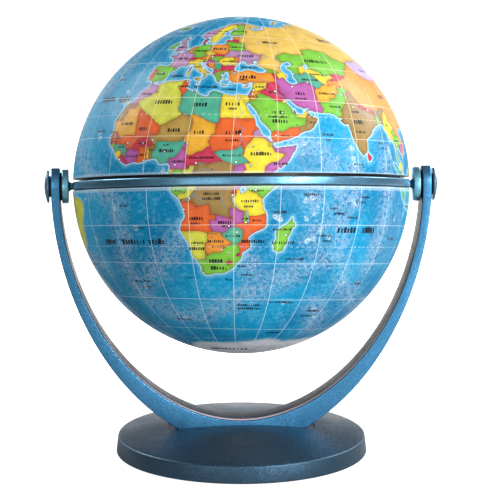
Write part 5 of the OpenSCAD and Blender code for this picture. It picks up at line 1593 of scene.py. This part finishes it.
def sea_print(t, place):
    """Clear blue with the sea bed's printed relief, paler over ridges and shelves and around islands."""
    ridge = attribute(t, "ridge")
    coast = attribute(t, "coast")
    isle = attribute(t, "isle")
    ragged = t.noise(place, 150, 8, 0.75)
    fine = t.noise(place, 620, 6, 0.75)
    leaning = t.node("Mapping", in_Rotation=(0.3, -0.9, 0.5), in_Scale=(760, 170, 760))
    t.feed(leaning.inputs["Vector"], place)
    streaks = t.noise(leaning.outputs[0], 1, 5, 0.65)
    sea = t.mix(t.ramp(t.noise(place, 24, 5), 0.35, 0.65), linear(0, 112, 156), linear(12, 142, 186))

    # hollows and swells
    relief = t.math("ADD", t.math("MULTIPLY", ragged, 0.5), t.math("MULTIPLY", streaks, 0.5))
    shaded = t.ramp(relief, 0.37, 0.48, 1, 0)
    sea = t.mix(t.math("MULTIPLY", shaded, 0.45), sea, linear(14, 92, 134))
    lit = t.math("MULTIPLY", t.ramp(relief, 0.48, 0.6), t.ramp(fine, 0.36, 0.56))
    sea = t.mix(t.math("MULTIPLY", lit, 0.5), sea, linear(104, 172, 202))

    # mid-ocean ridges: a pale band, with white crests and dark gaps
    ridge_reach = t.math("ADD", ridge, t.ramp(ragged, 0.3, 0.7, -5, 5, smooth=False))
    on_ridge = t.ramp(ridge_reach, 0.0, 8.0, 1, 0)
    band = t.math("MULTIPLY", on_ridge, t.ramp(streaks, 0.42, 0.58, 0.05, 0.5))
    sea = t.mix(band, sea, linear(120, 166, 194))
    crests = t.math("MULTIPLY", near_level(t, streaks, 0.5, 0.035), on_ridge)
    crests = t.math("MULTIPLY", crests, t.ramp(fine, 0.42, 0.55))
    sea = t.mix(t.math("MULTIPLY", crests, 0.8), sea, linear(206, 208, 216))
    gaps = t.math("MULTIPLY", near_level(t, ragged, 0.47, 0.022), on_ridge)
    sea = t.mix(t.math("MULTIPLY", gaps, 0.55), sea, linear(96, 92, 130))

    # shelves along the coasts, and shoals round the islands
    shelf = t.math("ADD", coast, t.ramp(ragged, 0.35, 0.65, -1.0, 1.0, smooth=False))
    sea = t.mix(t.ramp(shelf, 0.3, 2.2, 0.45, 0), sea, linear(120, 188, 212))
    sea = t.mix(t.ramp(coast, 0.2, 0.7, 0.55, 0), sea, linear(222, 234, 240))
    shoal = t.math("ADD", isle, t.ramp(fine, 0.35, 0.65, -0.7, 0.7))
    sea = t.mix(t.ramp(shoal, 0.3, 1.3, 0.6, 0), sea, linear(206, 224, 232))
    return t.mix(line_mask(t, isle, 0.3, 0.08), sea, linear(92, 84, 70))


def land_print(t, place, ink):
    """Flat inks with faint relief, a darker band inside each border, and the rivers."""
    border = attribute(t, "border")
    edge = t.math("MINIMUM", border, attribute(t, "coast"))
    mottled = t.node("VectorMath", operation="SCALE")
    t.feed(mottled.inputs[0], ink)
    t.feed(mottled.inputs["Scale"], t.ramp(t.noise(place, 210, 6, 0.65), 0.3, 0.7, 0.8, 1.06))
    edge_band = t.math("MULTIPLY", t.ramp(edge, 0.2, 1.6, 1, 0), 0.22)
    land = t.mix(edge_band, mottled.outputs[0], linear(120, 40, 30), "MULTIPLY")
    river = line_mask(t, attribute(t, "river"), 0.1)
    land = t.mix(t.math("MULTIPLY", river, 0.75), land, linear(70, 130, 180))
    return t.mix(t.math("MULTIPLY", line_mask(t, border, 0.11), 0.8), land, linear(122, 30, 44))


def degree_grid(t, chart, rho):
    """How strongly a line of the grid shows: every 15 degrees, and the dashed tropics and polar circles."""
    latitude = attribute(t, "latitude")
    lon = t.math("DEGREES", t.math("ARCTAN2", chart["X"], t.math("MULTIPLY", chart["Y"], -1)))
    mm_per_degree = BALL_R * math.pi / 180

    def off_line(value):
        share = t.math("FRACT", t.math("ADD", t.math("DIVIDE", value, GRID_DEG), 100.5))
        away = t.math("ABSOLUTE", t.math("SUBTRACT", share, 0.5))
        return t.math("MULTIPLY", away, GRID_DEG * mm_per_degree)

    def off_circle(from_equator, at):
        return t.math("MULTIPLY", t.math("ABSOLUTE", t.math("SUBTRACT", from_equator, at)), mm_per_degree)

    from_equator = t.math("ABSOLUTE", latitude)
    round_size = t.math("SINE", t.math("MULTIPLY", rho, math.pi / 2))
    meridian = line_mask(t, t.math("MULTIPLY", off_line(lon), round_size), 0.12)
    meridian = t.math("MULTIPLY", meridian, t.ramp(from_equator, 80, 81, 1, 0))
    parallel = line_mask(t, off_line(latitude), 0.12)
    dashes = t.math("GREATER_THAN", t.math("FRACT", t.math("ADD", t.math("DIVIDE", lon, 2.2), 100)), 0.45)
    circles = [line_mask(t, off_circle(from_equator, at), 0.1) for at in (TROPIC, POLAR_CIRCLE)]
    special = t.math("MULTIPLY", t.math("MAXIMUM", *circles), dashes)
    return t.math("MAXIMUM", t.math("MAXIMUM", meridian, parallel), special)


def map_print():
    """The printed and laminated map: sea with relief, inks, borders, rivers, towns and the degree grid."""
    t = material("map_print")
    place = t.node("TexCoord").outputs["Object"]
    ink = t.node("Attribute", attribute_name="ink")
    dry = t.ramp(ink.outputs["Alpha"], 0.4, 0.6, smooth=False)
    printed = t.mix(dry, sea_print(t, place), land_print(t, place, ink.outputs["Color"]))
    coastline = line_mask(t, attribute(t, "coast"), 0.09)
    printed = t.mix(t.math("MULTIPLY", coastline, 0.8), printed, linear(48, 62, 84))

    # small towns without a name, then the strokes of the names
    towns = t.node("TexVoronoi", in_Scale=210.0)
    t.feed(towns.inputs["Vector"], place)
    speck = t.math("MULTIPLY", t.ramp(towns.outputs["Distance"], 0.05, 0.09, 1, 0), dry)
    printed = t.mix(t.math("MULTIPLY", speck, 0.75), printed, linear(40, 30, 34))
    printed = t.mix(t.math("MULTIPLY", attribute(t, "stroke"), 0.95), printed, linear(16, 16, 26))

    chart = t.node("SeparateXYZ", in_Vector=t.node("UVMap", uv_map="map_chart").outputs[0]).outputs
    squares = [t.math("MULTIPLY", chart[axis], chart[axis]) for axis in ("X", "Y")]
    rho = t.math("SQRT", t.math("ADD", *squares))
    grid_colour = t.mix(dry, linear(214, 233, 240), linear(238, 226, 196))
    printed = t.mix(t.math("MULTIPLY", degree_grid(t, chart, rho), 0.6), printed, grid_colour)

    # capitals: a white dot in a dark ring
    town = attribute(t, "dot")
    printed = t.mix(line_mask(t, town, 0.58, 0.06), printed, linear(50, 30, 40))
    printed = t.mix(line_mask(t, town, 0.36, 0.06), printed, linear(244, 242, 236))

    # a pale lip where the print ends at the ring
    lip = t.math("MULTIPLY", t.ramp(rho, 0.966, 0.9685), 0.25)
    handling = grouped(t, "handling", Roughness=0.4, Spread=0.06)
    s = t.shader.inputs
    t.feed(s["Base Color"], t.mix(lip, printed, linear(225, 232, 235)))
    t.feed(s["Roughness"], handling.outputs["Roughness"])
    t.feed(s["Specular IOR Level"], 0.12)
    t.feed(s["Coat Weight"], 0.04)
    t.feed(s["Coat Roughness"], 0.3)
    t.feed(s["Normal"], handling.outputs["Normal"])
    return t.material


PAINTS = {
    "base_paint": flake_paint("base_paint", linear(52, 78, 98), 0.42, 0.82, 0.08, 0.34),
    # the arm's paint carries painted shade and a painted pale band of light on its inner face
    "arm_paint": flake_paint("arm_paint", linear(70, 138, 182), 0.36, 0.85, 0.12, 0.22, with_painted_inner_shade=True),
    "ring_paint": flake_paint("ring_paint", linear(90, 140, 168), 0.34, 0.88, 0.15, 0.1),
    # painted highlight: the discs are the caps' blue painted lighter, for the light that falls on them
    "disc_paint": flake_paint("disc_paint", linear(120, 184, 208), 0.34, 0.85, 0.2, 0.14),
    "cap_paint": flake_paint("cap_paint", linear(88, 132, 156), 0.34, 0.85, 0.2, 0.14),
    "map_print": map_print(),
    "shell_plastic": plastic("shell_plastic", linear(226, 224, 216), 0.45),
    "white_plastic": plastic("white_plastic", linear(224, 221, 210), 0.38),
    "black_plastic": plastic("black_plastic", linear(26, 26, 28), 0.42),
    "pad_rubber": plastic("pad_rubber", linear(24, 24, 26), 0.78, grain=1400, depth=0.00008, sheen=0.25),
    "steel_plate": metal("steel_plate", linear(168, 172, 178), 0.36, (2200, 50, 50), 0.25),
    "ballast_iron": metal("ballast_iron", linear(92, 92, 94), 0.55, (300, 300, 300), 0.6),
    "zinc_steel": metal("zinc_steel", linear(196, 200, 204), 0.28),
    "spring_steel": metal("spring_steel", linear(40, 42, 50), 0.34, (60, 2000, 60)),
}

# ---- putting it together ----

shown(base_shell(), "stand", "base_paint", PAINTS["base_paint"], "base_shell")
shown(arm_half("arm_front_looks", -1), "stand", "arm_paint", PAINTS["arm_paint"], "arm_front")
shown(arm_half("arm_back_looks", 1), "stand", "arm_paint", PAINTS["arm_paint"], "arm_back")
shown(equator_ring(), "ring", "ring_paint", PAINTS["ring_paint"], "equator_ring")
for side, word in ((-1, "left"), (1, "right")):
    disc = pivot_disc(word + "_disc_looks", side)
    shown(disc, "ring", "disc_paint", PAINTS["disc_paint"], word + "_pivot_disc")
    cap = pivot_cap(word + "_cap_looks", side)
    shown(cap, "ring", "disc_paint", PAINTS["cap_paint"], word + "_pivot_cap")
for half in ("north", "south"):
    shown(map_skin(half), "globe", "map_print", PAINTS["map_print"], half + "_map_skin")

KEPT_PARTS = {
    "steel_plate": ["base_plate"],
    "ballast_iron": ["ballast"],
    "pad_rubber": ["foot_pad"],
    "zinc_steel": ["plate_screws", "arm_screws", "arm_screw_washers", "left_pivot_bolt", "right_pivot_bolt"],
    "spring_steel": ["left_wave_washer", "right_wave_washer"],
    "black_plastic": ["left_slip_washer", "right_slip_washer", "upper_glide_ring", "lower_glide_ring",
                      "snap_collar"],
    "white_plastic": ["left_bush", "right_bush", "arm_dowels"],
    "shell_plastic": ["north_shell", "south_shell"],
}
for slot, names in KEPT_PARTS.items():
    for name in names:
        part = frame["nodes"][name]
        part.data.materials.clear()
        part.data.materials.append(PAINTS[slot])
        smooth(part, 30)

# ---- room, light and camera ----


def floor():
    """A plain white floor, evenly bright to the eye as in a washed-out studio; to what it lights and mirrors,
    its colour is painted darker on the left and lighter on the right, and a strip behind the ball glows as
    painted light.
    """
    size = 8
    deselect()
    bpy.ops.mesh.primitive_plane_add(size=1, location=(0, 0, 0))
    obj = bpy.context.object
    obj.name = "studio_floor"
    obj.scale = (size, size, 1)
    apply_place(obj)
    t = material("studio_white")
    place = t.node("TexCoord").outputs["Object"]
    cloud = t.ramp(t.ramp(t.noise(place, 3, 2), 0.3, 0.7), 0, 1, 0.9, 1)
    at = t.node("SeparateXYZ", in_Vector=place).outputs
    narrow = t.ramp(t.math("ABSOLUTE", at["X"]), 0.1, 0.3, 1, 0)
    # painted light: a strip of floor behind the ball glows, lighting the object and showing in it as a bright
    # backdrop would
    painted_glow_behind = t.math("MULTIPLY", t.ramp(at["Y"], 0.08, 0.2), narrow)
    seen = t.node("LightPath").outputs["Is Camera Ray"]
    s = t.shader.inputs
    # painted shade and light: the floor's colour darker on the left and lighter on the right, as it shows in
    # reflections
    side = t.ramp(at["X"], -0.3, 0.3, 0.2, 0.65)
    t.feed(s["Base Color"], t.math("MULTIPLY", side, cloud))
    t.feed(s["Roughness"], 0.8)
    t.feed(s["Emission Color"], (1, 1, 1))
    t.feed(s["Emission Strength"], t.math("MAXIMUM", seen, t.math("MULTIPLY", painted_glow_behind, 1.6)))
    obj.data.materials.append(t.material)
    return obj


def aimed(obj, at, aim):
    bpy.context.scene.collection.objects.link(obj)
    obj.location = at
    obj.rotation_euler = (aim - Vector(at)).to_track_quat("-Z", "Y").to_euler()


def lamp(name, at, size, power):
    """A square soft box that looks at the middle of the ball."""
    data = bpy.data.lights.new(name, "AREA")
    data.shape = "SQUARE"
    data.size = size
    data.energy = power
    aimed(bpy.data.objects.new(name, data), at, MIDDLE)


def studio_world():
    """White to the eye; what the object mirrors is brighter in front, to the right and low behind."""
    world = bpy.data.worlds.new("studio")
    world.use_nodes = True
    t = Tree(world.node_tree)
    facing = t.node("SeparateXYZ", in_Vector=t.node("TexCoord").outputs["Generated"]).outputs
    front = t.ramp(facing["Y"], -1, 0.1, 0.8, 0.12)
    glow = t.math("MULTIPLY", front, t.ramp(facing["X"], -0.8, 0.8, 0.5, 1.4))
    behind = t.math("MULTIPLY", t.ramp(facing["Y"], 0.4, 0.9), t.ramp(facing["Z"], 0.12, 0.3, 1, 0))
    glow = t.math("ADD", glow, t.math("MULTIPLY", behind, 1.3))
    seen = t.node("LightPath").outputs["Is Camera Ray"]
    background = world.node_tree.nodes["Background"].inputs
    t.feed(background["Color"], (1, 1, 1))
    t.feed(background["Strength"], t.math("MAXIMUM", seen, glow))
    return world


floor()
MIDDLE = CENTRE * MM
lamp("key_right", (0.75, -0.8, 0.62), 0.45, 11)
lamp("front_right", (0.55, -0.8, 0.2), 0.3, 3.2)
lamp("front_left", (-0.6, -1.2, 0.25), 0.7, 3.6)
lamp("rim_left", (-0.66, 0.35, 0.6), 0.4, 6)
lamp("rim_right", (0.7, 0.36, 0.55), 0.4, 6)

bpy.context.scene.world = studio_world()
bpy.context.scene.view_settings.view_transform = "Standard"

CAMERA_AZ = math.radians(-2.5)
CAMERA_EL = math.radians(9.15)
CAMERA_AWAY = 1.0
# how far the view's middle lies to the right of and above the ball's middle
AIM_RIGHT = 0.0036
AIM_UP = -0.02698
ahead = Vector((math.sin(CAMERA_AZ), -math.cos(CAMERA_AZ), 0))
toward = ahead * math.cos(CAMERA_EL) + Vector((0, 0, math.sin(CAMERA_EL)))
camera = bpy.data.objects.new("camera", bpy.data.cameras.new("camera"))
camera.data.lens = 172.88
camera.data.sensor_width = 36
right = Vector((math.cos(CAMERA_AZ), math.sin(CAMERA_AZ), 0))
up = right.cross(-toward)
aimed(camera, MIDDLE + toward * CAMERA_AWAY, MIDDLE + right * AIM_RIGHT + up * AIM_UP)
bpy.context.scene.camera = camera
